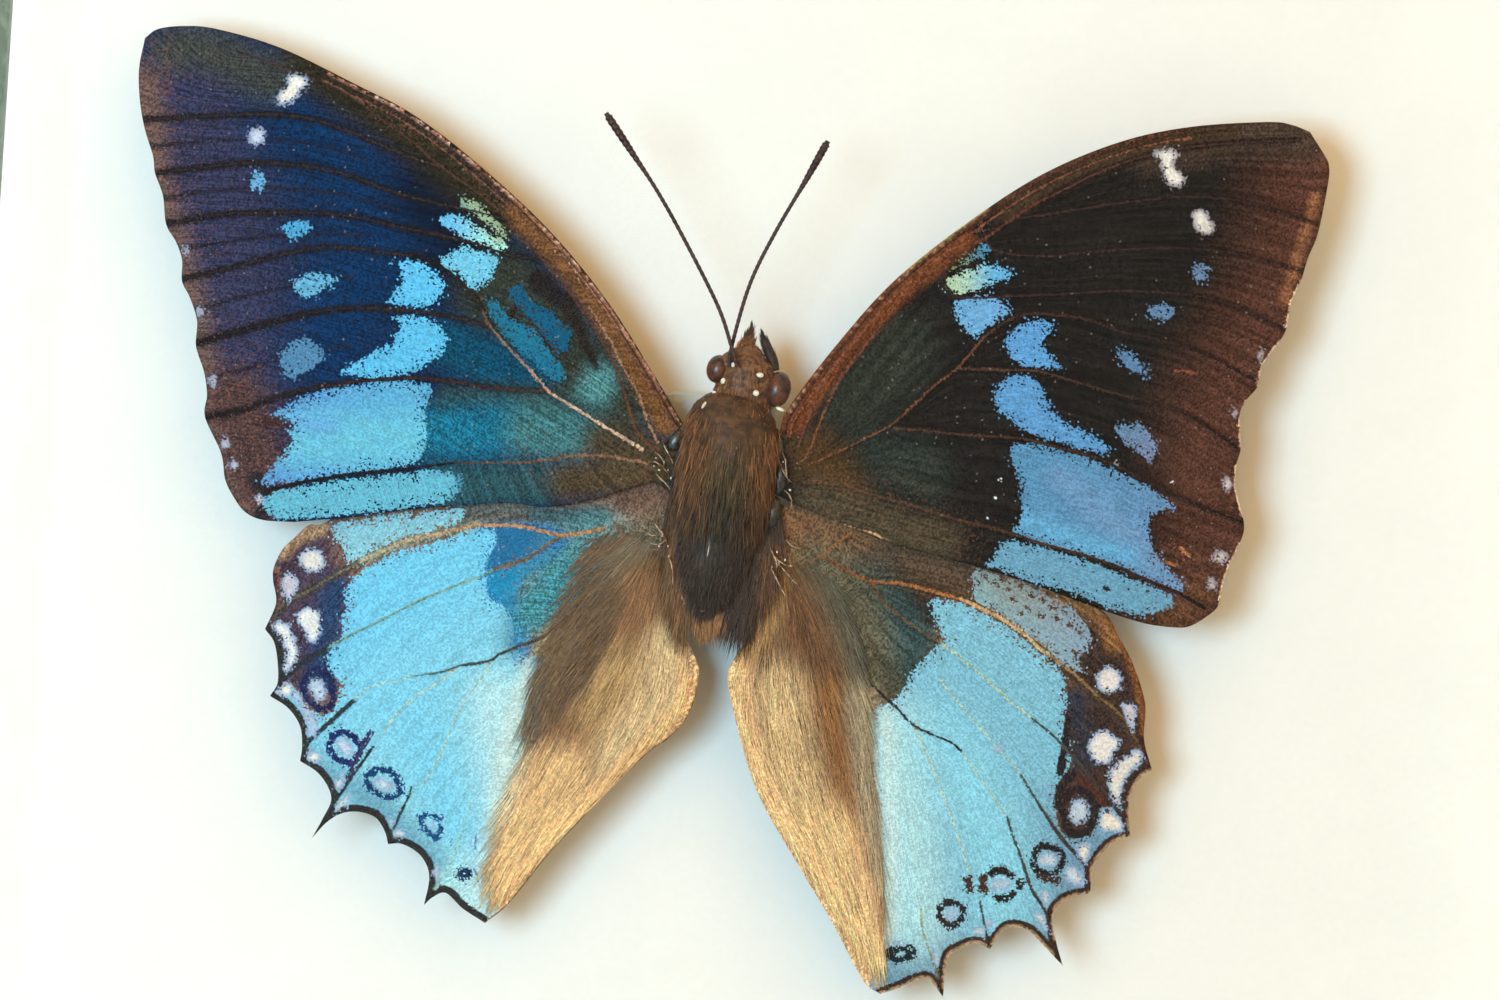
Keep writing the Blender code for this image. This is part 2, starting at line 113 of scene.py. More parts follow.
def from_line(spots, line, closed=False):
    """For each spot: its distance to the line, the nearest point's share of the line, and its side."""
    starts = line if closed else line[:-1]
    ends = np.roll(line, -1, 0) if closed else line[1:]
    nearest = np.full(len(spots), np.inf)
    share, side = np.zeros(len(spots)), np.zeros(len(spots))
    for i, (a, b) in enumerate(zip(starts, ends)):
        along = b - a
        length = along @ along
        if length == 0:
            continue
        t = np.clip(((spots - a) @ along) / length, 0, 1)
        off = spots - a - t[:, None] * along
        distance = np.hypot(off[:, 0], off[:, 1])
        closer = distance < nearest
        nearest[closer] = distance[closer]
        share[closer] = (i + t[closer]) / len(starts)
        side[closer] = np.sign(along[0] * off[closer, 1] - along[1] * off[closer, 0])
    return nearest, share, side


def inside(spots, outline):
    x, y = spots.T
    crossings = np.zeros(len(spots), bool)
    for a, b in zip(outline, np.roll(outline, -1, 0)):
        if a[1] != b[1]:
            span = (a[1] > y) != (b[1] > y)
            crossings ^= span & (a[0] + (y - a[1]) / (b[1] - a[1]) * (b[0] - a[0]) > x)
    return crossings


def ease(value, low, high):
    t = np.clip((value - low) / (high - low), 0, 1)
    return t * t * (3 - 2 * t)


def colour(red, green, blue):
    """A linear colour from the 0 to 255 values of a picture."""
    values = np.array([red, green, blue]) / 255
    return np.where(values <= 0.04045, values / 12.92, ((values + 0.055) / 1.055) ** 2.4)


def shown(red, green, blue):
    """The base colour that the stage's lights turn into about these 0 to 255 values of a picture."""
    return colour(red, green, blue) / STAGE_LIGHT


# --- Painting by shapes -------------------------------------------------------------------------------


def near_box(spots, line, reach):
    low, high = line.min(0) - reach, line.max(0) + reach
    return np.flatnonzero(np.all((spots > low) & (spots < high), axis=1))


def paint_zones(spots, ground, zones):
    """A colour for each spot: soft strokes (line, radius, softness, colour) over one colour or one a spot."""
    made = np.broadcast_to(ground, (len(spots), 3)).copy()
    for line, radius, soft, shade in zones:
        line = smooth_line(line, 12)
        some = near_box(spots, line, radius + soft)
        away = from_line(spots[some], line)[0]
        share = 1 - ease(away, radius - soft, radius + soft)
        made[some] += share[:, None] * (shown(*shade) - made[some])
    return made


def paint_amount(spots, zones):
    """How much of something lies at each spot: soft strokes (line, radius, softness, amount)."""
    made = np.zeros(len(spots))
    for line, radius, soft, amount in zones:
        line = smooth_line(line, 12)
        some = near_box(spots, line, radius + soft)
        away = from_line(spots[some], line)[0]
        made[some] = np.maximum(made[some], amount * (1 - ease(away, radius - soft, radius + soft)))
    return made


def paint_areas(spots, areas, reach=16):
    """Signed distance (positive inside) to the nearest closed area, and its colour.
    An area is (outline, colour) or (outline, colour, colour at the far end, direction)."""
    field, shades = np.full(len(spots), -float(reach)), np.zeros((len(spots), 3))
    for outline, shade, *fade in areas:
        line = smooth_line(outline, 4, closed=True)
        some = near_box(spots, line, reach)
        away = from_line(spots[some], line, closed=True)[0]
        signed = np.where(inside(spots[some], line), away, -away)
        wins = signed > field[some]
        chosen = some[wins]
        field[chosen] = np.minimum(signed[wins], FAR_INSIDE)
        shades[chosen] = shown(*shade)
        if fade:
            way = np.array(fade[1], float)
            along = (spots[chosen] - line.mean(0)) @ way / (way @ way)
            shades[chosen] += ease(along, -0.5, 0.5)[:, None] * (shown(*fade[0]) - shown(*shade))
    return field, shades


def paint_strokes(spots, strokes, reach=14):
    """Signed distance (positive inside) to the nearest stroke, its colour, and how far it stands up.
    A stroke is (line, half width at its start and end, colour at its start and end, rise, closed)."""
    field, shades = np.full(len(spots), -float(reach)), np.zeros((len(spots), 3))
    rise = np.zeros(len(spots))
    for points, widths, colours, height, closed in strokes:
        line = smooth_line(points, 3, closed)
        some = near_box(spots, line, reach)
        away, share, _ = from_line(spots[some], line, closed)
        width = widths[0] + share * (widths[1] - widths[0])
        wins = width - away > field[some]
        chosen = some[wins]
        field[chosen] = (width - away)[wins]
        first, last = shown(*colours[0]), shown(*colours[1])
        shades[chosen] = first + share[wins, None] * (last - first)
        bump = height * np.exp(-(away / (1.6 * np.maximum(width, 0.8))) ** 2)
        rise[some] = np.maximum(rise[some], bump)
    return field, shades, rise


def interspaces(spots, veins):
    """A number that grows by one from each vein to the next, counted from the front edge of the wing."""
    signed = []
    for vein in veins:
        away, _, side = from_line(spots, smooth_line(vein, 10))
        signed.append(away * side)
    made = np.minimum(signed[0], 0) / 40
    for upper, lower in zip(signed, signed[1:]):
        between = np.clip(upper / np.maximum(upper - lower, 1e-6), 0, 1)
        made += np.where((upper > 0) & (lower < 0), between, (upper > 0).astype(float))
    return made + np.maximum(signed[-1], 0) / 40


# --- Meshes -------------------------------------------------------------------------------------------


def make_piece(name, points, faces, looks, replaced=()):
    """A smooth closed piece, its faces turned outwards, in place of the nodes that it replaces."""
    mesh = bpy.data.meshes.new(name)
    mesh.from_pydata(np.asarray(points).tolist(), [], faces)
    for look in looks:
        mesh.materials.append(look)
    mesh.shade_smooth()
    shape = bmesh.new()
    shape.from_mesh(mesh)
    bmesh.ops.recalc_face_normals(shape, faces=shape.faces)
    shape.to_mesh(mesh)
    shape.free()
    piece = bpy.data.objects.new(name, mesh)
    bpy.context.scene.collection.objects.link(piece)
    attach(piece, "root")
    if replaced:
        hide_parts(*replaced)
    return piece


def store(piece, name, values):
    """Keeps one number, one colour or one vector for each vertex."""
    values = np.asarray(values, np.float32)
    if values.ndim == 1:
        piece.data.attributes.new(name, "FLOAT", "POINT").data.foreach_set("value", values)
    elif name == "flow":
        piece.data.attributes.new(name, "FLOAT_VECTOR", "POINT").data.foreach_set("vector", values.ravel())
    else:
        full = np.ones((len(values), 4), np.float32)
        full[:, :3] = values
        piece.data.attributes.new(name, "FLOAT_COLOR", "POINT").data.foreach_set("color", full.ravel())


def fine_steps(line, step=1, closed=True):
    """The line's own segments cut into steps."""
    if len(line) < 2:
        return line
    ends = np.roll(line, -1, 0) if closed else line[1:]
    starts = line if closed else line[:-1]
    made = [line[:1]]
    for a, b in zip(starts, ends):
        count = max(1, math.ceil(np.linalg.norm(b - a) / step))
        made.append(a + (b - a) * (np.arange(1, count + 1) / count)[:, None])
    return np.vstack(made)


def triangulate(outline, lines, spacing):
    """A triangle mesh inside the outline, with points along the lines: its spots, its triangles, and which of
    the spots are the outline's."""
    low, high = outline.min(0), outline.max(0)
    rows = np.arange(low[1], high[1], spacing * math.sqrt(3) / 2)
    columns = np.arange(low[0], high[0], spacing)
    grid_x = columns[None, :] + 0.5 * spacing * (np.arange(len(rows)) % 2)[:, None]
    grid = np.stack([grid_x, np.broadcast_to(rows[:, None], grid_x.shape)], -1).reshape(-1, 2)
    grid += rng.uniform(-0.12, 0.12, grid.shape) * spacing
    origin = np.floor(low) - 8
    taken = np.zeros(np.ceil(high - origin).astype(int) + 16, bool)
    near_edge = taken.copy()
    clear = 0.62 * spacing
    offsets = [(i, j) for i in range(-2, 3) for j in range(-2, 3) if math.hypot(i, j) <= clear + 0.3]

    def mark(grid_cells, line):
        for offset in offsets:
            cells = (np.rint(line - origin) + offset).astype(int)
            grid_cells[cells[:, 0], cells[:, 1]] = True

    mark(near_edge, fine_steps(outline))
    kept, ties = [], []
    start = len(outline)
    for line in lines:
        cells = np.clip(np.rint(line - origin).astype(int), 0, np.array(near_edge.shape) - 1)
        good = inside(line, outline) & ~near_edge[cells[:, 0], cells[:, 1]]
        order = np.cumsum(good) - 1 + start
        ties += [(order[i], order[i + 1]) for i in range(len(line) - 1) if good[i] and good[i + 1]]
        kept.append(line[good])
        start += good.sum()
        mark(taken, fine_steps(line[good], closed=False))
    cells = np.rint(grid - origin).astype(int)
    free = ~(taken | near_edge)[cells[:, 0], cells[:, 1]]
    grid = grid[free]
    grid = grid[inside(grid, outline)]
    spots = np.vstack([outline, *kept, grid])
    sheet = delaunay_2d_cdt([Vector(p) for p in spots], ties, [list(range(len(outline)))], 1, 1e-6)
    order = {source: new for new, old in enumerate(sheet[3]) for source in old}
    made = np.array([tuple(p) for p in sheet[0]])
    return made, [tuple(t) for t in sheet[2]], [order[i] for i in range(len(outline))]


def wing_depth(spots):
    """The Y of the forewings' middle plane: arched towards the viewer, drooping to the tip."""
    head, tail = (np.array(p, float) for p in BODY_LINE)
    along = (tail - head) / np.linalg.norm(tail - head)
    away = np.abs((spots[:, 0] - head[0]) * along[1] - (spots[:, 1] - head[1]) * along[0]) * PIXEL
    share = np.minimum(away / FOREWING_LENGTH, 1)
    return WING_Y + WING_DROOP * share ** 2 - WING_ARCH * np.sin(math.pi * share)


def build_wing(name, design):
    """A membrane over the outline: fine and painted in front, plainer behind, closed by a rim."""
    outline = np.vstack([smooth_line(run, 3)[:-1] for run in design["outline"]])
    ridges = [smooth_line(line, 3) for line, _, _, _, closed in design["strokes"]
              if len(line) > 2 and not closed]
    spots, triangles, rim = triangulate(outline, ridges, FRONT_SPACING)
    back_spots, back_triangles, back_rim = triangulate(outline, [], BACK_SPACING)
    base = np.array(design["base"], float)
    along = np.linalg.norm(spots - base, axis=1)
    across = interspaces(spots, design["veins"])
    patch, patch_colour = paint_areas(spots, design["patches"])
    dots, dot_colour = paint_areas(spots, design["dots"])
    ink, ink_colour, rise = paint_strokes(spots, design["strokes"])
    band, band_colour, _ = paint_strokes(spots, design["bands"])
    edge = from_line(spots, outline[::2], closed=True)[0]
    ground = paint_zones(spots, shown(*design["ground"]), design["zones"])
    blot, blot_colour, _ = paint_strokes(spots, design["blots"])
    patch_colour = paint_zones(spots, paint_zones(spots, patch_colour, design["tints"]), design["veils"])
    ground = paint_zones(spots, ground, design["veils"])

    part = across - np.floor(across)
    sag = 4 * part * (1 - part) * ease(edge, 0, 40) * ease(along, 20, 120)
    wave = np.sin(spots[:, 0] / 37 + 1.3) * np.sin(spots[:, 1] / 29) * ease(edge, -10, 60)
    relief = 0.14 * MM * sag + 0.03 * MM * wave - rise
    middle = wing_depth(spots) + design["behind"]
    front = place(spots, middle - MEMBRANE / 2 + relief)
    back = place(back_spots, wing_depth(back_spots) + design["behind"] + MEMBRANE / 2 + 0.05 * MM)
    count = len(spots)
    faces = list(triangles)
    faces += [tuple(i + count for i in reversed(t)) for t in back_triangles]
    back_rim = [i + count for i in back_rim]
    faces += [(rim[i], rim[i - 1], back_rim[i - 1], back_rim[i]) for i in range(len(rim))]
    points = np.vstack([front, back])
    piece = make_piece(name, points, faces, [design["look"], design["back_look"]],
                       [design["node"]])
    under = np.zeros(len(faces), np.int32)
    under[len(triangles):] = 1
    piece.data.polygons.foreach_set("material_index", under)
    fields = {
        "patch": patch, "dots": dots, "ink": ink, "band": band, "ground": ground, "blot": blot,
        "patch_colour": patch_colour, "dot_colour": dot_colour, "ink_colour": ink_colour,
        "band_colour": band_colour, "blot_colour": blot_colour, "rust": paint_amount(spots, design["rust"]),
        "flow": np.stack([along, across * 40, np.zeros(count)], -1),
    }
    for field, values in fields.items():
        blank = np.zeros((len(back_spots), *values.shape[1:]))
        store(piece, field, np.concatenate([values, blank]))


# --- Materials ----------------------------------------------------------------------------------------


class Look:
    """A material's nodes, with short names for what is used most."""

    def __init__(self, name):
        self.material = bpy.data.materials.new(name)
        self.material.use_nodes = True
        self.tree = self.material.node_tree
        self.shader = self.tree.nodes["Principled BSDF"]

    def node(self, kind, inputs=(), **settings):
        made = self.tree.nodes.new(kind)
        for key, value in settings.items():
            setattr(made, key, value)
        for key, value in dict(inputs).items():
            self.join(value, made.inputs[key])
        return made

    def join(self, value, socket):
        if isinstance(value, bpy.types.NodeSocket):
            self.tree.links.new(value, socket)
        elif isinstance(value, (tuple, list, np.ndarray)) and socket.type == "RGBA":
            socket.default_value = (*value[:3], 1)
        else:
            socket.default_value = value

    def math(self, how, a, b=0.0, c=0.0):
        return self.node("ShaderNodeMath", {0: a, 1: b, 2: c}, operation=how).outputs[0]

    def where(self, scale=1 / PIXEL):
        """Object coordinates, in pixels of the photograph unless another scale is given."""
        spot = self.node("ShaderNodeTexCoord").outputs["Object"]
        return self.scaled(spot, (scale, scale, scale))

    def flat_where(self):
        """The place across and up the frame, in pixels of the photograph, for two-dimensional textures."""
        across, _, up = self.node("ShaderNodeSeparateXYZ", {0: self.where()}).outputs
        return self.node("ShaderNodeCombineXYZ", {0: across, 1: up}).outputs[0]

    def scaled(self, vector, by):
        return self.node("ShaderNodeVectorMath", {0: vector, 1: by}, operation="MULTIPLY").outputs[0]

    def attribute(self, name, output="Fac"):
        return self.node("ShaderNodeAttribute", attribute_name=name).outputs[output]

    def noise(self, vector, scale, detail=2.0, roughness=0.55, flat=False):
        made = self.node("ShaderNodeTexNoise", {"Vector": vector, "Scale": scale, "Detail": detail,
                                                "Roughness": roughness},
                         noise_dimensions="2D" if flat else "3D")
        return made.outputs[0]

    def ramp(self, value, low, high, to_low=0.0, to_high=1.0):
        made = self.node("ShaderNodeMapRange", {"Value": value, "From Min": low, "From Max": high,
                                                "To Min": to_low, "To Max": to_high},
                         interpolation_type="SMOOTHSTEP")
        return made.outputs[0]

    def mix(self, share, a, b, how="MIX"):
        made = self.node("ShaderNodeMix", data_type="RGBA", blend_type=how)
        self.join(share, made.inputs[0])
        self.join(a, made.inputs[6])
        self.join(b, made.inputs[7])
        return made.outputs[2]

    def times(self, shade, value):
        """A colour made lighter or darker by a number."""
        grey = self.node("ShaderNodeCombineColor", {0: value, 1: value, 2: value}).outputs[0]
        return self.mix(1.0, shade, grey, "MULTIPLY")

    def bump(self, height, distance, strength=1.0):
        made = self.node("ShaderNodeBump", {"Height": height, "Distance": distance, "Strength": strength})
        self.join(made.outputs[0], self.shader.inputs["Normal"])

    def finish(self, shade, roughness, specular=0.5, sheen=0.0, coat=0.0):
        self.join(shade, self.shader.inputs["Base Color"])
        self.join(roughness, self.shader.inputs["Roughness"])
        self.shader.inputs["Specular IOR Level"].default_value = specular
        self.shader.inputs["Sheen Weight"].default_value = sheen
        self.shader.inputs["Coat Weight"].default_value = coat
        return self.material


def wing_look(name, specks, rim):
    """Scales laid in rows along the veins: a streaked ground, then bands, patches, blots, veins and dots.
    Every scale belongs wholly to one of them, so all their edges are stippled."""
    look = Look(name)
    where = look.flat_where()
    flow = look.attribute("flow", "Vector")
    scales = look.node("ShaderNodeTexVoronoi", {"Vector": where, "Scale": 0.6},
                       voronoi_dimensions="2D").outputs["Color"]
    scales = look.node("ShaderNodeSeparateColor", {0: scales}).outputs
    inward = look.math("POWER", scales[0], 6.0)
    outward = look.math("POWER", scales[1], 8.0)
    streaks = look.noise(look.scaled(flow, (0.012, 0.3, 1)), 1.0, 3, flat=True)
    fine = look.math("SUBTRACT", look.noise(where, 0.16, 2, flat=True), 0.5)

    def stippled(field, lost, strayed, wander, soft):
        """Where a field is inside, less the scales lost near its edge, plus those that strayed over it."""
        total = look.math("MULTIPLY_ADD", inward, -lost, look.attribute(field))
        total = look.math("MULTIPLY_ADD", outward, strayed, total)
        total = look.math("MULTIPLY_ADD", fine, wander, total)
        return look.ramp(total, -soft, soft)

    ground = look.times(look.attribute("ground", "Color"), look.ramp(streaks, 0.3, 0.7, 0.66, 1.26))
    ground = look.times(ground, look.ramp(scales[1], 0, 1, 0.5, 1.4))
    rust = look.math("MULTIPLY", look.attribute("rust"), look.ramp(scales[0], 0.72, 0.8))
    rust = look.math("MULTIPLY", rust, look.ramp(fine, -0.12, 0.1))
    ground = look.mix(look.math("MULTIPLY", rust, 0.6), ground, shown(150, 98, 74))

    band_shade = look.times(look.attribute("band_colour", "Color"), look.ramp(scales[1], 0, 1, 0.5, 1.6))
    shade = look.mix(stippled("band", 4, 4, 4, 2.8), ground, band_shade)

    patch_shade = look.times(look.attribute("patch_colour", "Color"), look.ramp(scales[2], 0, 1, 0.8, 1.18))
    fibres = look.noise(look.scaled(flow, (0.06, 0.9, 1)), 1.0, 2, flat=True)
    patch_shade = look.times(patch_shade, look.ramp(fibres, 0.3, 0.7, 0.86, 1.12))
    shade = look.mix(stippled("patch", 15 * specks, 7, 6, 0.6), shade, patch_shade)
    blot_shade = look.times(look.attribute("blot_colour", "Color"), look.ramp(scales[1], 0, 1, 0.6, 1.4))
    shade = look.mix(stippled("blot", 5, 5, 7, 0.6), shade, blot_shade)

    ink_shade = look.times(look.attribute("ink_colour", "Color"), look.ramp(scales[1], 0, 1, 0.6, 1.4))
    shade = look.mix(stippled("ink", 1.5, 1.5, 1.5, 0.6), shade, ink_shade)

    dots = look.attribute("dots")
    dot_shade = look.mix(look.ramp(dots, 0, 6), shown(*rim), look.attribute("dot_colour", "Color"))
    dot_shade = look.times(dot_shade, look.ramp(scales[2], 0, 1, 0.8, 1.1))
    shade = look.mix(stippled("dots", 7, 4, 8, 1.6), shade, dot_shade)
    # A few single scales painted pale: painted glints, the sparkle of scales that catch the light.
    shade = look.mix(look.ramp(scales[2], 0.996, 0.998, 0, 0.3), shade, shown(190, 170, 150))

    rows = look.noise(look.scaled(flow, (0.5, 0.6, 1)), 1.0, 1, flat=True)
    look.bump(rows, 0.03 * MM, 0.5)
    return look.finish(shade, look.ramp(scales[1], 0, 1, 0.45, 0.65), specular=0.04)


def underside_look():
    look = Look("wing_underside")
    where = look.flat_where()
    bands = look.ramp(look.noise(where, 0.035, 3, flat=True), 0.42, 0.58)
    shade = look.mix(bands, colour(124, 96, 66), colour(84, 64, 46))
    shade = look.times(shade, look.ramp(look.noise(where, 0.5, 3, flat=True), 0.3, 0.7, 0.75, 1.25))
    look.bump(look.noise(where, 0.6, 2, flat=True), 0.02 * MM, 0.5)
    return look.finish(shade, look.ramp(bands, 0, 1, 0.55, 0.7), specular=0.2)


# --- The butterfly's outlines, veins and markings -----------------------------------------------------

IVORY, COLD_WHITE = (244, 238, 222), (205, 212, 228)

LEFT_FOREWING = [
    [(683, 424), (656, 378), (608, 302), (549, 230), (478, 164), (414, 115), (357, 85), (281, 48),
     (217, 29), (184, 26), (158, 29), (145, 38)],
    [(145, 38), (139, 69), (140, 102), (145, 130), (153, 156), (155, 173), (163, 196), (166, 224),
     (176, 242), (182, 260), (182, 281), (190, 298), (197, 321), (196, 346), (204, 372), (207, 395),
     (205, 417), (221, 453), (225, 479), (233, 496), (245, 512), (263, 520), (294, 522)],
    [(294, 522), (355, 517), (406, 510), (500, 503), (546, 507), (593, 500), (641, 484), (664, 482)],
    [(664, 482), (679, 480)],
    [(679, 480), (679, 460), (665, 454), (666, 445), (683, 424)],
]
RIGHT_FOREWING = [
    [(779, 434), (788, 409), (834, 348), (893, 282), (967, 223), (1043, 174), (1120, 142), (1190, 127),
     (1267, 122), (1292, 125), (1310, 132)],
    [(1310, 132), (1325, 156), (1329, 166), (1328, 184), (1318, 233), (1308, 258), (1301, 281),
     (1291, 304), (1287, 327), (1280, 341), (1263, 365), (1258, 386), (1246, 401), (1240, 419),
     (1241, 447), (1236, 467), (1236, 490), (1244, 523), (1240, 543), (1225, 576), (1219, 604),
     (1206, 617), (1187, 627), (1167, 627)],
    [(1167, 627), (1143, 623), (1105, 611), (1029, 583), (978, 567), (888, 542), (850, 527), (819, 515),
     (795, 504), (779, 496)],
    [(779, 496), (779, 434)],
]
LEFT_HINDWING = [
    [(670, 492), (640, 476), (560, 464), (470, 462), (390, 478), (328, 521), (309, 525), (294, 538),
     (282, 550), (274, 567), (273, 580), (276, 603), (265, 629)],
    [(265, 629), (275, 645), (278, 680), (270, 696)],
    [(270, 696), (288, 708), (300, 726), (302, 747), (300, 761)],
    [(300, 761), (317, 772), (328, 787), (331, 801), (323, 818), (312, 838)],
    [(312, 838), (327, 822), (343, 813), (360, 812), (376, 818), (385, 832), (388, 844)],
    [(388, 844), (402, 844), (418, 853), (427, 866), (429, 881), (424, 905)],
    [(424, 905), (433, 897), (446, 893), (462, 908), (485, 923)],
    [(485, 923), (510, 902), (557, 845), (640, 760), (670, 737), (690, 712), (699, 676), (694, 655),
     (676, 620), (664, 575), (664, 530), (670, 492)],
]
RIGHT_HINDWING = [
    [(781, 505), (830, 506), (880, 515), (950, 530), (1020, 556), (1072, 592), (1105, 613), (1120, 639),
     (1133, 664), (1145, 703), (1144, 739), (1152, 770)],
    [(1152, 770), (1141, 777), (1133, 790), (1129, 803), (1130, 836)],
    [(1130, 836), (1116, 841), (1103, 852), (1093, 868), (1090, 893)],
    [(1090, 893), (1066, 899), (1053, 915), (1056, 941), (1063, 966)],
    [(1063, 966), (1043, 945), (1030, 932), (1016, 927), (1003, 930), (990, 949)],
    [(990, 949), (976, 943), (959, 949), (947, 960), (943, 997)],
    [(943, 997), (934, 985), (924, 978), (896, 989), (880, 994)],
    [(880, 994), (863, 980), (832, 922), (800, 868), (761, 800), (742, 745), (728, 684), (732, 663),
     (746, 638), (754, 610), (763, 580), (776, 550), (781, 505)],
]


def vein(points, widths, first, last=None, rise=0.05 * MM):
    return (points, widths, (first, last or first), rise, False)


def ring(points, width, shade):
    return (points, (width, width), (shade, shade), 0.0, True)


def oval(centre, half_width, half_height, lean=0.0, count=8):
    """Points round an ellipse, leaning by an angle in degrees."""
    turn = math.radians(lean)
    made = []
    for i in range(count):
        a = 2 * math.pi * i / count
        x, y = half_width * math.cos(a), half_height * math.sin(a)
        made.append((centre[0] + x * math.cos(turn) - y * math.sin(turn),
                     centre[1] + x * math.sin(turn) + y * math.cos(turn)))
    return made


def inset(line, side, away):
    """The line moved into the wing: side is 1 on the left wings and -1 on the right ones."""
    along = np.gradient(line, axis=0)
    along /= np.linalg.norm(along, axis=1)[:, None]
    return line + away * side * np.stack([along[:, 1], -along[:, 0]], -1)


def edge_lines(run, side, lines, share):
    """Fine ridges along the first share of a wing's front edge: (distance from it, half width, colour)."""
    edge = smooth_line(run, 10)
    edge = edge[:round(share * len(edge))]
    return [vein(inset(edge, side, away), (width, width * 0.7), shade, rise=0.04 * MM)
            for away, width, shade in lines]


def highlight_beads(run, side, away, shares, shade):
    """Short raised dashes along a stretch of a wing's front edge, painted bright as their highlights."""
    edge = inset(smooth_line(run, 3), side, away)
    first, last = (round(share * len(edge)) for share in shares)
    return [vein([tuple(edge[i]), tuple(edge[i + 1])], (0.9, 0.7), shade, rise=0.05 * MM)
            for i in range(first, last - 1, 3)]


def between_veins(upper, lower):
    """The thin dark streak that runs halfway between two veins."""
    count = 5
    pick = [i / (count - 1) for i in range(count)]

    def at(points, share):
        line = smooth_line(points, 6)
        return line[round(share * (len(line) - 1))]

    middle = [tuple((at(upper, s) + at(lower, s)) / 2) for s in pick]
    return vein(middle, (0.8, 2.0), (30, 28, 36), rise=0.0)


def rim_strokes(runs, side, shade, fringe):
    """The dark border along each scallop, widest in its middle, and the pale fringe outside it."""
    made = []
    for run in runs:
        line = inset(smooth_line(run, 4), side, 3.8)
        middle = len(line) // 2
        made.append(vein(line[:middle + 1], (2.8, 3.6), shade, rise=0.0))
        made.append(vein(line[middle:], (3.6, 2.8), shade, rise=0.0))
        made.append(vein(run, (0.9, 0.9), fringe, rise=0.0))
    return made


# A wing's design: its outline, its base, the veins that part its fields, and its markings. Zones and rust
# lie on the ground, veils on everything, tints on the patches. Bands, patches, blots, strokes and dots lie
# over one another in that order.


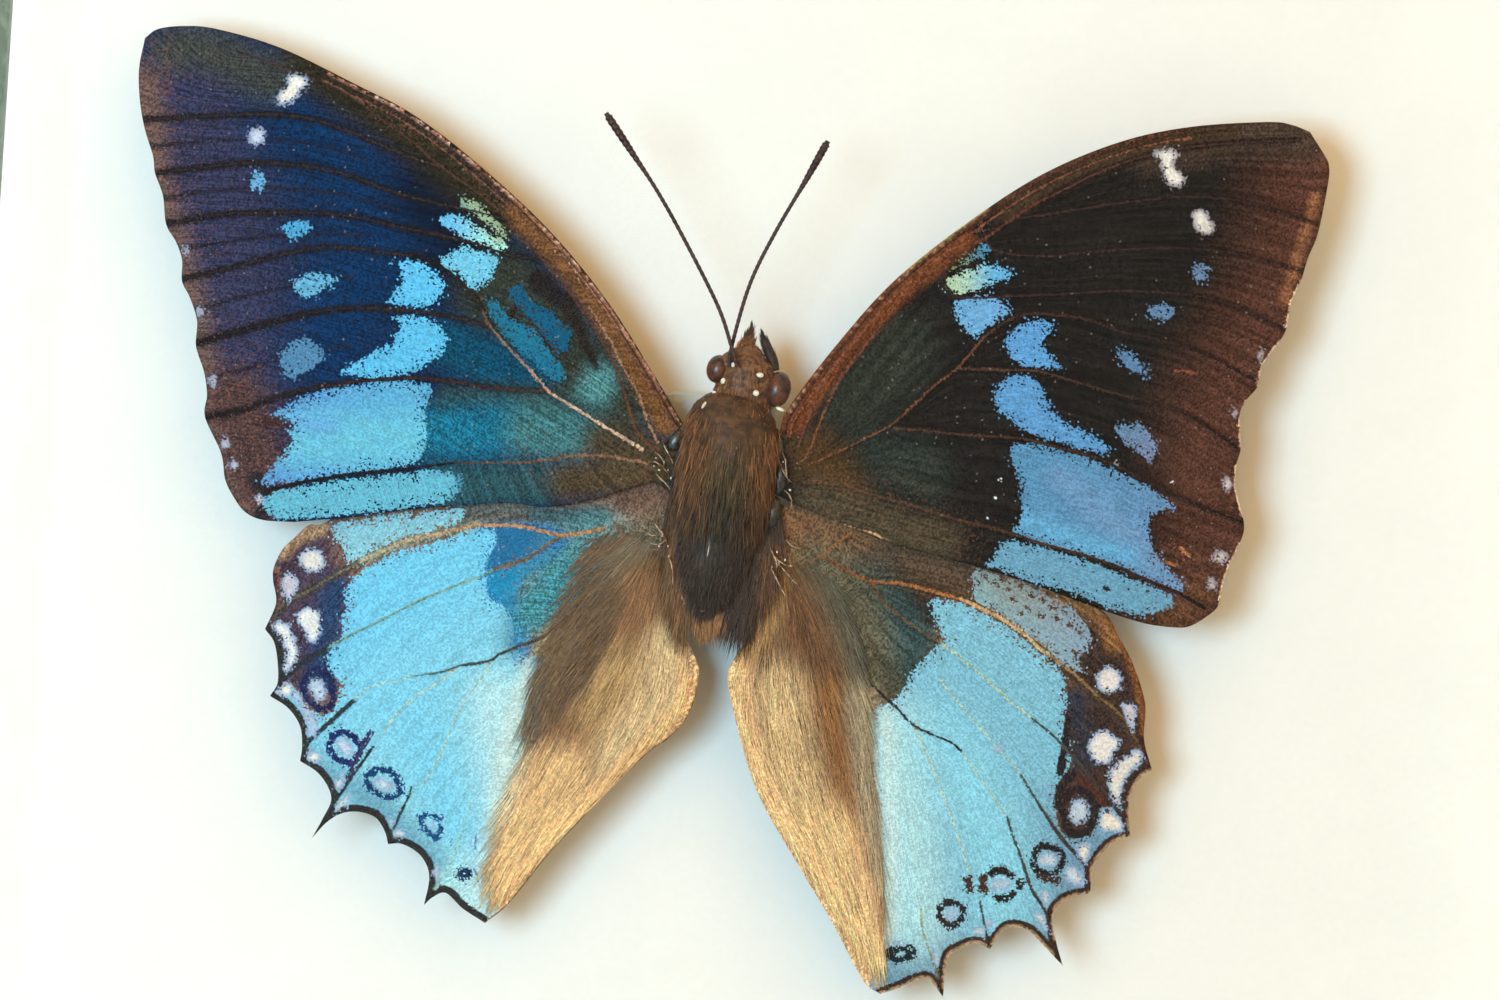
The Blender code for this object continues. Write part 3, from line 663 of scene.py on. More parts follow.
def left_forewing():
    stem = [(658, 451), (641, 437), (632, 418), (620, 380), (612, 360), (601, 338), (582, 309), (561, 281),
            (542, 259), (509, 221), (479, 194), (443, 168), (413, 143), (380, 118), (330, 85), (236, 51)]
    cell = [(643, 450), (632, 443), (607, 428), (581, 412), (549, 392), (529, 369), (509, 348), (490, 326),
            (483, 311), (473, 295), (453, 275), (433, 263), (413, 256)]
    outer = [
        [(443, 168), (400, 153), (332, 125), (281, 115), (210, 116), (143, 120)],
        [(509, 221), (478, 212), (440, 204), (400, 194), (332, 171), (255, 163), (156, 173)],
        [(542, 259), (509, 255), (478, 244), (444, 236), (400, 227), (332, 214), (230, 214), (167, 224)],
        [(413, 256), (332, 247), (281, 255), (230, 268), (182, 279)],
        [(489, 326), (446, 316), (413, 311), (370, 308), (330, 310), (281, 320), (196, 343)],
        [(549, 392), (496, 388), (446, 381), (401, 378), (332, 385), (279, 397), (243, 410), (206, 417)],
    ]
    lower = [(646, 463), (607, 456), (572, 456), (538, 461), (503, 463), (452, 463), (400, 470), (355, 474),
             (304, 482), (266, 491)]
    veins = [stem, stem[:12] + outer[0][1:], stem[:10] + outer[1][1:], stem[:9] + outer[2][1:],
             cell + outer[3][1:], cell[:8] + outer[4][1:], cell[:5] + outer[5][1:], lower]
    dark = (26, 24, 26)
    strokes = [
        vein(stem, (1.5, 0.9), (96, 62, 44), (60, 46, 42)),
        vein([(589, 306), (611, 342), (622, 365), (638, 393), (646, 417), (658, 443)], (0.8, 1.2),
             (150, 112, 84)),
        # The ridge behind the front edge, painted as a tan highlight line that grows paler towards the body.
        vein([(470, 158), (507, 194), (542, 230), (564, 255), (587, 284), (608, 312), (621, 331), (640, 355),
              (656, 377)], (0.7, 1.0), (112, 76, 56), (168, 120, 92)),
        vein(cell[:5], (1.7, 1.3), (206, 176, 146), (196, 164, 138), 0.08 * MM),
        vein(cell[4:9], (1.3, 1.2), (176, 142, 118), (96, 74, 60), 0.08 * MM),
        vein(cell[8:], (1.2, 1.0), (56, 44, 38), dark),
        vein(lower[:6], (1.3, 1.0), (140, 104, 78), (70, 58, 48)),
        vein(lower[5:], (1.1, 1.5), dark),
        vein(outer[5], (1.2, 1.3), (70, 48, 40), dark),
        vein(outer[4], (1.1, 1.2), (58, 44, 38), dark),
        *[vein(line, (0.9, 0.9), (60, 46, 40), (44, 36, 36)) for line in outer[:2]],
        *[vein(line, (0.9, 0.9), (52, 42, 38), (44, 36, 36)) for line in outer[2:4]],
    ]
    strokes += edge_lines(LEFT_FOREWING[0], 1, ((2.0, 0.7, (176, 122, 98)), (5.5, 1.0, (52, 34, 30)),
                                                (11.0, 0.7, (120, 78, 60))), 0.72)
    # Bright dashes along the front edge and along the ridge behind it: painted highlights.
    strokes += highlight_beads(LEFT_FOREWING[0], 1, 2.2, (0.06, 0.66), (226, 190, 164))
    strokes += highlight_beads([(656, 377), (640, 355), (608, 312), (587, 284), (542, 230), (507, 194), (470, 158)],
                     1, 0.0, (0.0, 0.9), (206, 168, 140))
    bands = [
        *[vein(line, widths, dark) for line, widths in zip(
            outer, ((3.2, 3.8), (3.2, 3.8), (3.0, 3.8), (2.6, 3.8), (2.4, 4.8), (2.0, 3.8)))],
        vein(lower[6:], (2.0, 4.0), dark),
        vein(cell[8:], (3.0, 4.0), dark),
        vein([(521, 303), (512, 316), (536, 334), (552, 352)], (3.0, 2.0), (38, 30, 26)),
        vein([(566, 300), (584, 340), (597, 368)], (9.0, 3.0), (38, 33, 30)),
        vein([(540, 282), (560, 300)], (12.0, 8.0), (34, 30, 30)),
        vein([(256, 480), (268, 500), (262, 516)], (9.0, 9.0), (44, 36, 40)),
        vein([(268, 421), (282, 423), (294, 427)], (5.0, 2.0), (60, 40, 36)),
    ]
    bands += [between_veins(above[-4:], below[-4:]) for above, below in zip(veins[1:6], veins[2:7])]
    patches = [
        ([(461, 199), (474, 201), (490, 214), (506, 232), (508, 240), (494, 230), (478, 216), (462, 207)],
         (86, 150, 156), (140, 156, 94), (40, 30)),
        ([(438, 220), (446, 215), (459, 216), (474, 223), (489, 233), (502, 239), (507, 246), (501, 252),
          (489, 247), (476, 243), (463, 238), (453, 231), (444, 226)],
         (106, 189, 230), (175, 240, 224), (60, 26)),
        ([(440, 261), (449, 255), (461, 247), (473, 249), (486, 253), (496, 256), (497, 263), (494, 273),
          (487, 281), (476, 290), (469, 287), (463, 280), (453, 273), (444, 266)], (115, 200, 226)),
        ([(393, 263), (401, 262), (410, 260), (423, 263), (433, 270), (439, 278), (444, 287), (440, 296),
          (433, 303), (424, 307), (413, 308), (401, 305), (388, 302), (395, 291), (401, 281), (400, 266)],
         (97, 194, 234)),
        ([(396, 318), (408, 316), (423, 317), (433, 321), (441, 328), (446, 338), (445, 348), (438, 356),
          (428, 363), (418, 371), (405, 374), (388, 377), (366, 378), (347, 374), (340, 371), (350, 366),
          (366, 356), (380, 349), (393, 343), (396, 333), (403, 326)], (95, 190, 228)),
        ([(282, 408), (300, 398), (335, 388), (401, 381), (428, 386), (431, 394), (425, 412), (427, 436),
          (421, 458), (400, 467), (355, 472), (304, 480), (264, 484), (266, 474), (279, 458), (292, 443),
          (289, 431), (296, 425), (274, 414)], (93, 158, 206), (95, 174, 209), (120, 0)),
        ([(268, 494), (300, 486), (355, 478), (400, 474), (430, 470), (455, 474), (462, 486), (452, 498),
          (430, 505), (355, 514), (294, 519), (268, 514), (262, 504)], (101, 181, 201)),
        (oval((258, 182), 8, 9), (104, 169, 207)),
        ([(282, 226), (292, 221), (304, 221), (312, 225), (308, 232), (300, 237), (290, 238), (284, 233)],
         (80, 165, 205)),
        ([(293, 283), (302, 276), (318, 273), (337, 279), (327, 286), (318, 294), (304, 297), (296, 292)],
         (102, 176, 207)),
        ([(281, 356), (290, 343), (305, 338), (320, 346), (324, 356), (316, 366), (302, 374), (290, 378),
          (282, 368)], (83, 135, 169)),
        ([(487, 301), (497, 303), (506, 313), (521, 324), (534, 329), (546, 346), (562, 366), (565, 378),
          (551, 379), (534, 363), (521, 353), (504, 336), (491, 316)], (29, 115, 144)),
        ([(509, 288), (521, 286), (532, 301), (546, 308), (562, 323), (570, 336), (567, 349), (559, 353),
          (547, 338), (534, 323), (521, 310), (511, 296)], (17, 90, 122)),
    ]
    dots = [
        ([(287, 75), (294, 73), (302, 75), (309, 80), (308, 85), (301, 91), (296, 100), (284, 105),
          (278, 103), (276, 96), (279, 91), (286, 85)], IVORY),
        (oval((257, 136), 9, 10, 20), COLD_WHITE),
        (oval((259, 500), 4, 7, -10), IVORY),
        (oval((213, 381), 5, 6), (190, 176, 170)),
        (oval((225, 443), 5, 6), (206, 190, 182)),
        (oval((234, 465), 5, 5), (214, 204, 196)),
        (oval((201, 311), 4, 6), (176, 146, 128)),
        (oval((186, 250), 4, 6), (150, 116, 100)),
    ]
    zones = [
        ([(190, 80), (215, 250), (240, 400)], 62, 50, (53, 56, 84)),
        ([(300, 120), (360, 190), (390, 240), (350, 300), (330, 350)], 46, 40, (7, 48, 87)),
        ([(430, 190), (470, 250), (500, 290)], 40, 30, (6, 24, 47)),
        ([(300, 62), (360, 100), (430, 150), (500, 210)], 24, 18, (47, 41, 25)),
        ([(175, 50), (200, 48), (235, 62), (270, 80)], 22, 20, (64, 67, 62)),
        ([(143, 85), (152, 170), (170, 240), (190, 320), (204, 390), (225, 470), (250, 512)], 18, 16,
         (110, 85, 76)),
        ([(235, 400), (250, 450), (262, 480)], 30, 20, (80, 58, 56)),
        ([(500, 290), (560, 350), (610, 410)], 44, 22, (52, 58, 48)),
        ([(450, 345), (530, 378)], 24, 16, (8, 74, 100)),
        ([(600, 380), (590, 400)], 16, 14, (85, 144, 144)),
        ([(450, 400), (540, 400), (600, 420)], 14, 12, (48, 71, 70)),
        ([(440, 432), (500, 430)], 26, 20, (23, 115, 142)),
        ([(530, 430), (572, 437)], 24, 20, (66, 122, 124)),
        ([(606, 443), (650, 455)], 22, 18, (72, 64, 46)),
        ([(440, 486), (540, 484)], 20, 12, (42, 83, 89)),
        ([(570, 482), (660, 472)], 20, 18, (78, 66, 44)),
        ([(520, 215), (570, 265), (612, 322), (645, 378), (668, 420)], 15, 7, (118, 80, 43)),
        ([(470, 150), (560, 235), (625, 318), (680, 415)], 7, 5, (62, 47, 29)),
    ]
    rust = [
        ([(148, 70), (160, 170), (185, 260), (205, 360), (230, 450), (250, 500)], 34, 26, 0.75),
        ([(235, 370), (258, 440), (266, 480)], 30, 22, 0.8),
        ([(200, 100), (250, 240), (262, 330)], 40, 36, 0.15),
        ([(380, 110), (450, 150), (500, 200)], 10, 8, 0.6),
        ([(530, 460), (600, 470), (650, 470)], 26, 20, 0.5),
    ]
    tints = [
        ([(442, 386), (437, 430), (440, 462)], 8, 12, (58, 132, 172)),
        ([(462, 470), (466, 500)], 6, 10, (58, 128, 160)),
        ([(300, 440), (420, 440)], 26, 20, (107, 191, 212)),
        ([(470, 200), (500, 236)], 8, 8, (159, 185, 148)),
        ([(298, 424), (330, 427)], 5, 14, (102, 162, 210)),
    ]
    # The deep blue of this wing's ground and the bright cyan of its patches are painted sheen: the structural
    # blue that its scales throw back towards the viewer. The same scales on the right forewing are painted
    # darker.
    return dict(outline=LEFT_FOREWING, base=(661, 457), veins=veins, strokes=strokes, bands=bands,
                blots=[], tints=tints, veils=[],
                patches=patches, dots=dots, ground=(19, 43, 76), zones=zones, rust=rust, behind=0.0)


def right_forewing():
    stem = [(800, 462), (808, 454), (816, 433), (826, 408), (840, 380), (868, 342), (900, 302), (928, 277),
            (956, 253), (984, 239), (1012, 219), (1040, 201), (1120, 164), (1200, 146), (1300, 140)]
    cell = [(810, 464), (836, 453), (864, 439), (891, 425), (915, 404), (934, 386), (955, 370), (972, 352),
            (985, 336)]
    branches = [
        [(985, 336), (1005, 322), (1030, 314), (1080, 318), (1120, 331), (1160, 340), (1200, 352),
         (1259, 382)],
        [(958, 368), (1000, 370), (1036, 371), (1070, 380), (1110, 392), (1150, 402), (1190, 416),
         (1240, 449)],
        [(895, 428), (920, 430), (955, 434), (1000, 437), (1030, 440), (1060, 448), (1100, 459), (1140, 477),
         (1180, 497), (1243, 523)],
    ]
    upper = [
        [(1012, 219), (1050, 214), (1120, 203), (1190, 197), (1250, 203), (1316, 223)],
        [(984, 239), (1000, 252), (1050, 256), (1110, 250), (1180, 248), (1240, 254), (1303, 272)],
        [(956, 253), (945, 280), (960, 297), (1015, 296), (1060, 294), (1120, 291), (1180, 294), (1230, 304),
         (1286, 329)],
    ]
    lower = [(804, 481), (836, 483), (850, 487), (878, 496), (913, 506), (955, 519), (1000, 530), (1040, 543),
             (1080, 554), (1118, 567), (1147, 580), (1176, 592), (1205, 608)]
    veins = [stem, stem[:11] + upper[0][1:], stem[:10] + upper[1][1:], stem[:9] + upper[2][1:],
             cell + branches[0][1:], cell[:7] + branches[1][1:], cell[:4] + branches[2][1:], lower]
    dark = (28, 24, 24)
    strokes = [
        vein(stem[:12], (0.9, 1.2), (126, 78, 52), (92, 54, 40)),
        vein(stem[11:], (1.0, 0.8), (90, 54, 42), (60, 46, 40)),
        vein([(798, 447), (806, 425), (822, 387), (850, 348), (880, 312)], (0.8, 1.0), (122, 72, 54)),
        vein(cell, (0.8, 1.2), (116, 74, 50), (104, 66, 48), 0.07 * MM),
        vein(branches[0], (1.2, 1.0), (72, 50, 40), dark),
        vein(branches[1], (1.3, 1.1), (84, 60, 42), dark),
        vein(branches[2], (1.1, 1.3), (84, 58, 42), dark),
        vein(lower, (0.8, 1.8), (100, 68, 48), dark),
        *[vein(line, (1.0, 0.9), (64, 44, 38), (50, 38, 34)) for line in upper],
    ]
    strokes += edge_lines(RIGHT_FOREWING[0], -1, ((2.0, 0.8, (104, 62, 44)), (6.0, 1.0, (60, 38, 30)),
                                                  (11.0, 0.8, (128, 78, 56))), 0.8)
    # Bright dashes along the front edge: painted highlights.
    strokes += highlight_beads(RIGHT_FOREWING[0], -1, 2.0, (0.04, 0.4), (190, 140, 104))
    # A pale line along the inner edge near the body: painted highlight on the glossy edge.
    strokes.append(vein([(822, 519), (847, 526), (867, 531.5), (887, 540)], (0.9, 0.7), (196, 150, 112)))
    # Tiny pale specks painted as glints: painted highlights on single scales.
    glint_specks = [(1116, 461), (1173, 482), (1000, 479), (995, 497), (988, 518), (1013, 524)]
    strokes += [vein([(x - 1, y), (x + 1, y + 1)], (0.7, 0.6), (206, 216, 220), rise=0.0)
                for x, y in glint_specks]
    strokes += [vein([(1175, 371), (1186, 371), (1197, 374)], (1.5, 1.0), (128, 70, 50), rise=0.0),
                vein([(1180, 548), (1190, 557)], (1.8, 1.2), (176, 120, 78), rise=0.0),
                vein([(1166, 562), (1176, 566)], (1.6, 1.2), (150, 96, 62), rise=0.0),
                vein([(1104, 588), (1109, 590)], (2.0, 1.6), (40, 36, 36), rise=0.0)]
    pale_edges = [[(1301, 281), (1291, 304), (1287, 327)], [(1280, 341), (1263, 365), (1258, 386)],
                  [(1246, 401), (1240, 419), (1241, 447)], [(1236, 467), (1236, 490), (1243, 516)],
                  [(1240, 543), (1225, 576), (1219, 604)]]
    strokes += [vein(run, (1.5, 1.5), (224, 190, 156), rise=0.0) for run in pale_edges]
    bands = [
        vein(upper[0], (2.0, 1.6), dark), vein(upper[1][1:], (1.6, 1.6), dark),
        vein(upper[2][2:], (1.6, 1.6), dark), vein(branches[0], (1.6, 1.8), dark),
        vein(branches[1], (2.0, 2.0), dark), vein(branches[2][4:], (2.0, 2.2), dark),
        vein(stem[11:], (3.0, 3.0), dark),
        vein([(1138, 588), (1150, 590), (1160, 597)], (3.0, 6.0), (62, 42, 34)),
    ]
    patches = [
        ([(949, 271), (966, 258.6), (978.6, 247.4), (987, 243), (989.8, 248.8), (984, 256), (967, 263)],
         (125, 153, 102), (76, 139, 169), (34, -20)),
        ([(944.9, 284), (949, 277), (966, 270), (981, 265.6), (995, 265.6), (1006.6, 270), (1012, 274),
          (1004, 280), (992.6, 285), (978.6, 291), (960, 294), (952, 291)], (179, 209, 175), (104, 182, 224),
         (46, -4)),
        ([(953, 303.5), (963, 299), (978.6, 296.5), (992.6, 296.5), (1002, 302), (1011, 312), (998, 320),
          (984, 330), (974, 337), (966, 330), (956, 316)], (112, 171, 212)),
        ([(1005, 343.5), (1008, 335), (1016.5, 327), (1028, 321.7), (1041.7, 321), (1054, 325), (1049, 334),
          (1042, 341), (1047, 350.5), (1054, 360), (1063, 368), (1050, 367), (1036, 367), (1025, 366.6),
          (1013.7, 360)], (96, 160, 210)),
        ([(994, 398), (997, 388), (1004, 380), (1015, 376), (1029, 376.5), (1036, 381), (1043, 390),
          (1044.5, 398), (1050, 408), (1064, 421), (1078, 428), (1099, 439), (1110.5, 450), (1099, 453),
          (1078, 449), (1057, 442), (1036, 436), (1022, 429), (1008, 419), (998, 409)], (95, 155, 202)),
        ([(1012, 445), (1022, 444), (1039, 444.7), (1058.6, 449.6), (1078, 455), (1096.5, 462), (1120, 472),
          (1141, 483), (1162, 496), (1173.6, 508.6), (1159.6, 511), (1150, 518), (1148, 528), (1150, 539),
          (1155, 551), (1161, 560.5), (1173.6, 574.5), (1183.5, 584), (1182, 591), (1162, 585.7),
          (1134, 574.5), (1106, 563), (1078, 553.5), (1050, 546.5), (1029, 539), (1015, 531), (1022, 517),
          (1021, 503), (1022, 486), (1015, 469), (1010, 457)], (90, 145, 180), (102, 144, 180), (150, 60)),
        ([(1002, 542), (1015, 542), (1029, 544), (1050, 550), (1078, 558), (1106, 568), (1134, 580),
          (1160, 590), (1172, 596), (1172, 607), (1148, 614), (1134, 615), (1106, 607), (1078, 594),
          (1050, 587), (1022, 579), (1001, 570), (988, 565), (997, 553.5)], (108, 162, 187)),
        (oval((1200, 272.5), 8, 9), (106, 135, 166)),
        ([(1147.8, 310), (1157, 305), (1168, 305), (1176, 312), (1170, 319), (1160, 319), (1151, 316)],
         (101, 136, 170)),
        ([(1117, 350.7), (1130.6, 351.7), (1144, 367), (1148, 378), (1136, 372.7), (1121, 363)],
         (95, 135, 171)),
        ([(1115, 428), (1126, 425), (1140, 425), (1150, 433), (1155, 443), (1155, 455), (1150, 464),
          (1143, 456), (1134, 449), (1122, 439)], (102, 136, 165), (120, 137, 169), (20, 40)),
    ]
    dots = [
        ([(1152.6, 153), (1163, 149), (1176.5, 150), (1178.4, 158), (1173.7, 163.6), (1184, 175),
          (1184, 183.7), (1176.5, 187.5), (1167, 184), (1162, 171), (1159, 160), (1154.5, 157)], IVORY),
        ([(1191.8, 213), (1199.5, 208.5), (1207, 213), (1214.8, 230.5), (1207, 235), (1197.6, 232),
          (1192.8, 223)], (232, 226, 212)),
        (oval((1261, 355), 4, 5), (196, 170, 160)),
        (oval((1234, 413), 4, 5), (206, 184, 172)),
        (oval((1227.5, 484), 6, 7), (222, 208, 198)),
        (oval((1220, 557), 8, 7), (206, 196, 188)),
        (oval((1212, 584), 5, 7, -30), (206, 190, 182)),
    ]
    rust = [
        ([(1316, 180), (1290, 280), (1260, 360), (1220, 450), (1215, 560), (1190, 610)], 40, 34, 0.3),
        ([(1180, 546), (1160, 556), (1190, 560)], 8, 6, 1.0),
        ([(1174, 371), (1198, 374)], 5, 4, 1.0),
        ([(820, 500), (900, 500), (960, 540)], 26, 20, 0.45),
        ([(900, 290), (990, 222)], 8, 6, 0.8),
    ]
    zones = [
        ([(1320, 170), (1300, 260), (1270, 340), (1230, 420), (1225, 500), (1215, 580), (1190, 615)], 62, 48,
         (87, 55, 42)),
        ([(1150, 150), (1240, 135), (1300, 140)], 22, 16, (78, 62, 49)),
        ([(850, 400), (900, 350)], 34, 26, (50, 54, 44)),
        ([(880, 460), (920, 475)], 28, 22, (46, 54, 46)),
        ([(812, 455), (830, 470), (840, 495)], 26, 20, (81, 59, 33)),
        ([(815, 500), (870, 520), (940, 540)], 20, 14, (77, 68, 50)),
        ([(1200, 590), (1170, 622)], 16, 12, (97, 65, 44)),
        ([(1005, 208), (1050, 182), (1130, 150), (1225, 134)], 14, 6, (68, 52, 36)),
        ([(790, 420), (845, 345), (905, 282), (960, 240)], 15, 6, (112, 62, 31)),
        ([(905, 270), (930, 249), (955, 230), (985, 212)], 3, 3, (178, 160, 97)),
        ([(1315, 196), (1310, 217), (1298, 255), (1285, 300)], 4, 6, (153, 102, 68)),
    ]
    tints = [
        ([(1060, 478), (1110, 520), (1150, 556), (1176, 586)], 12, 14, (110, 152, 188)),
        ([(1024, 520), (1070, 538), (1127, 556)], 10, 10, (101, 169, 205)),
    ]
    # The same scales as the left forewing, painted without its sheen: a dark ground and lilac patches.
    return dict(outline=RIGHT_FOREWING, base=(800, 470), veins=veins, strokes=strokes, bands=bands,
                blots=[], tints=tints, veils=[],
                patches=patches, dots=dots, ground=(34, 31, 27), zones=zones, rust=rust, behind=0.0)


def left_hindwing():
    upper = [(604, 528), (587, 532), (563, 535), (541, 531), (518, 526), (476, 525), (442, 533), (409, 540),
             (384, 550), (360, 561), (335, 575), (310, 590), (285, 603), (272, 618)]
    second = [(563, 537), (550, 543), (534, 555), (518, 562), (495, 569), (480, 577), (467, 581), (426, 598),
              (401, 610), (376, 623), (351, 635), (326, 649), (302, 662), (285, 676), (273, 692)]
    third = [(613, 569), (602, 581), (584, 597), (572, 612), (556, 624), (541, 638), (520, 646), (500, 654),
             (489, 661), (459, 666), (442, 672), (415, 676), (381, 684), (363, 692), (353, 701), (330, 722),
             (304, 746), (301, 757)]
    tail = [(459, 667), (442, 680), (415, 697), (394, 717), (384, 733), (373, 747), (353, 775), (334, 803),
            (318, 829)]
    fourth = [(492, 660), (484, 676), (463, 704), (442, 751), (422, 787), (410, 808), (403, 812), (394, 828),
              (389, 840)]
    fifth = [(540, 660), (512, 720), (490, 765), (472, 801), (453, 856), (439, 883), (427, 899)]
    veins = [upper, upper[:3] + second[1:], third, third[:10] + tail[1:], third[:8] + fourth[1:], fifth]
    cream = (176, 200, 180)
    strokes = [
        vein(upper[:6], (1.8, 1.6), (170, 122, 80), (190, 145, 100)),
        vein(upper[5:10], (1.6, 2.2), (190, 150, 108), (172, 170, 140)),
        vein(upper[9:], (1.4, 1.2), (120, 112, 92), (84, 78, 66)),
        vein([(615, 523), (624, 537), (642, 548), (661, 546)], (1.6, 2.6), (112, 88, 68), rise=0.1 * MM),
        vein(second[:5], (1.6, 1.6), (110, 96, 78)),
        vein(second[4:12], (1.2, 1.4), (120, 160, 140), (110, 150, 140)),
        vein(second[11:], (2.0, 3.0), (46, 54, 62), (44, 44, 52)),
        vein(third[:10], (1.6, 1.5), (96, 66, 48), (58, 68, 66)),
        vein(third[9:12], (1.4, 0.8), (58, 68, 66), (90, 120, 120)),
        vein(third[11:15], (0.7, 0.8), cream),
        vein(third[14:], (2.4, 2.6), (44, 58, 62)),
        vein(tail[:5], (0.8, 0.8), cream),
        vein([(374, 732), (368, 742), (358, 757), (346, 778)], (1.2, 1.6), (58, 48, 84)),
        vein(tail[5:], (1.6, 2.2), (46, 56, 66)),
        vein(fourth[:5], (0.7, 0.8), cream),
        vein([(411.5, 787), (408, 798), (403, 808), (394, 828), (389, 840)], (1.2, 1.6), (50, 62, 62)),
        vein(fifth[3:], (0.6, 0.7), (150, 200, 180)),
        vein([(452, 838), (451, 846)], (0.8, 0.8), (60, 90, 120), rise=0.0),
        vein([(476, 834), (475, 850)], (0.7, 0.7), (90, 110, 150), rise=0.0),
        vein([(474, 868), (479, 885)], (0.8, 0.8), (80, 100, 130), rise=0.0),
    ]
    blots = [
        ring([(303, 688), (306, 677), (317, 670), (328, 677), (333, 692), (330, 708), (319, 708), (308, 700)],
             3.8, (28, 40, 80)),
        ring([(330, 744), (335, 734), (346, 733), (357, 741), (360, 753), (352, 763), (341, 761), (333, 754)],
             3.6, (30, 44, 96)),
        ring([(366, 778), (378, 770), (389, 771), (398, 781), (400, 793), (390, 797), (376, 792)], 3.4,
             (22, 62, 104)),
        ring([(421, 817), (430, 816), (439, 818), (440, 828), (438, 838), (430, 833), (423, 826)], 2.6,
             (30, 76, 122)),
        ring(oval((465, 874), 4.5, 3), 3.4, (24, 52, 78)),
        vein([(370, 732), (362, 744), (354, 756)], (2.4, 2.0), (52, 50, 92)),
    ]
    strokes += rim_strokes(LEFT_HINDWING[1:7], 1, (46, 46, 44), (60, 56, 50))
    strokes.append(vein([(485, 923), (510, 902), (557, 845), (640, 760), (670, 737), (690, 712), (699, 676)],
                        (1.2, 1.2), (140, 104, 66), rise=0.0))
    bands = [
        vein(upper[9:], (3.0, 5.0), (66, 62, 58)), vein(second[11:], (2.0, 4.0), (48, 46, 52)),
        vein(third[15:], (2.4, 3.4), (46, 52, 60)),
        vein([(274, 575), (275, 604), (268, 626)], (5.0, 4.0), (70, 48, 52)),
    ]
    rust = [
        ([(300, 540), (292, 590), (300, 640)], 40, 30, 0.3),
        ([(640, 600), (580, 660), (540, 720)], 50, 40, 0.35),
    ]
    patches = [
        ([(338, 523), (370, 518), (400, 514), (440, 511), (461, 508), (461, 521), (440, 529), (409, 536),
          (384, 546), (362, 557), (348, 563), (345, 551), (338, 541), (332, 532)], (138, 199, 211)),
        ([(357, 574), (376, 562), (400, 552), (425, 545), (450, 537), (470, 530), (495, 531), (497, 543),
          (489, 556), (486, 574), (489, 596), (503, 606), (511, 616), (514, 632), (518, 654), (546, 658),
          (548, 684), (544, 708), (536, 732), (527, 757), (518, 784), (509, 830), (503, 870), (500, 905),
          (492, 940), (440, 940), (300, 860), (240, 760), (256, 696), (275, 693), (290, 682), (300, 700),
          (316, 712), (328, 712), (338, 696), (339, 679), (332, 676), (325, 659), (331, 649), (342, 633),
          (341, 616), (346, 606), (343, 594)], (116, 203, 232), (163, 216, 212), (160, 260)),
        ([(495, 531), (520, 527), (545, 533), (560, 537), (548, 545), (532, 556), (515, 564), (495, 572),
          (487, 574), (488, 556), (497, 543)], (38, 112, 154)),
        ([(489, 578), (500, 570), (530, 560), (548, 549), (556, 552), (540, 566), (524, 582), (518, 600),
          (512, 612), (503, 604), (489, 594)], (36, 140, 181)),
    ]
    dots = [
        (oval((312, 560.5), 14, 12, 20), (226, 222, 210)),
        ([(281, 578), (290, 573), (299, 580), (297, 591), (288, 602), (283, 594)], (206, 200, 206)),
        ([(296, 614), (307, 607), (319, 611), (322, 624), (319, 638), (310, 643), (304, 632), (298, 624)],
         (236, 236, 228)),
        ([(272, 626), (279, 621), (289, 625), (294, 636), (299, 652), (295, 664), (285, 673), (282, 667),
          (286, 656), (282, 642)], (236, 238, 232)),
        ([(275.5, 692), (284, 683), (292, 684), (293, 692), (288, 698)], (238, 236, 220)),
        ([(294, 686), (306, 704), (318, 722), (316, 734), (308, 738), (305, 722), (298, 706), (290, 694)],
         (180, 206, 224)),
        ([(305, 757), (312, 751), (322, 754), (321, 761), (312, 763)], (240, 236, 218)),
        ([(335, 780), (343, 773), (344, 783), (338, 791), (334, 787)], (218, 222, 214)),
        ([(332, 812), (340, 799), (350, 795), (348, 804), (338, 811)], (226, 226, 202)),
        ([(308, 683), (318, 677), (326, 690), (325, 700), (317, 701), (311, 694)], (196, 216, 228)),
        ([(335, 742), (345, 738), (354, 749), (350, 757), (341, 754)], (204, 218, 236)),
        ([(372, 783), (383, 777), (394, 786), (390, 791), (378, 789)], (196, 216, 222)),
        ([(426, 822), (433, 822), (436, 831), (431, 829)], (180, 206, 222)),
        (oval((391, 823), 3.5, 5), (226, 216, 206)),
        (oval((399, 833.5), 7, 5), (232, 232, 214)),
        (oval((437, 873), 3.5, 9), (222, 222, 200)),
    ]
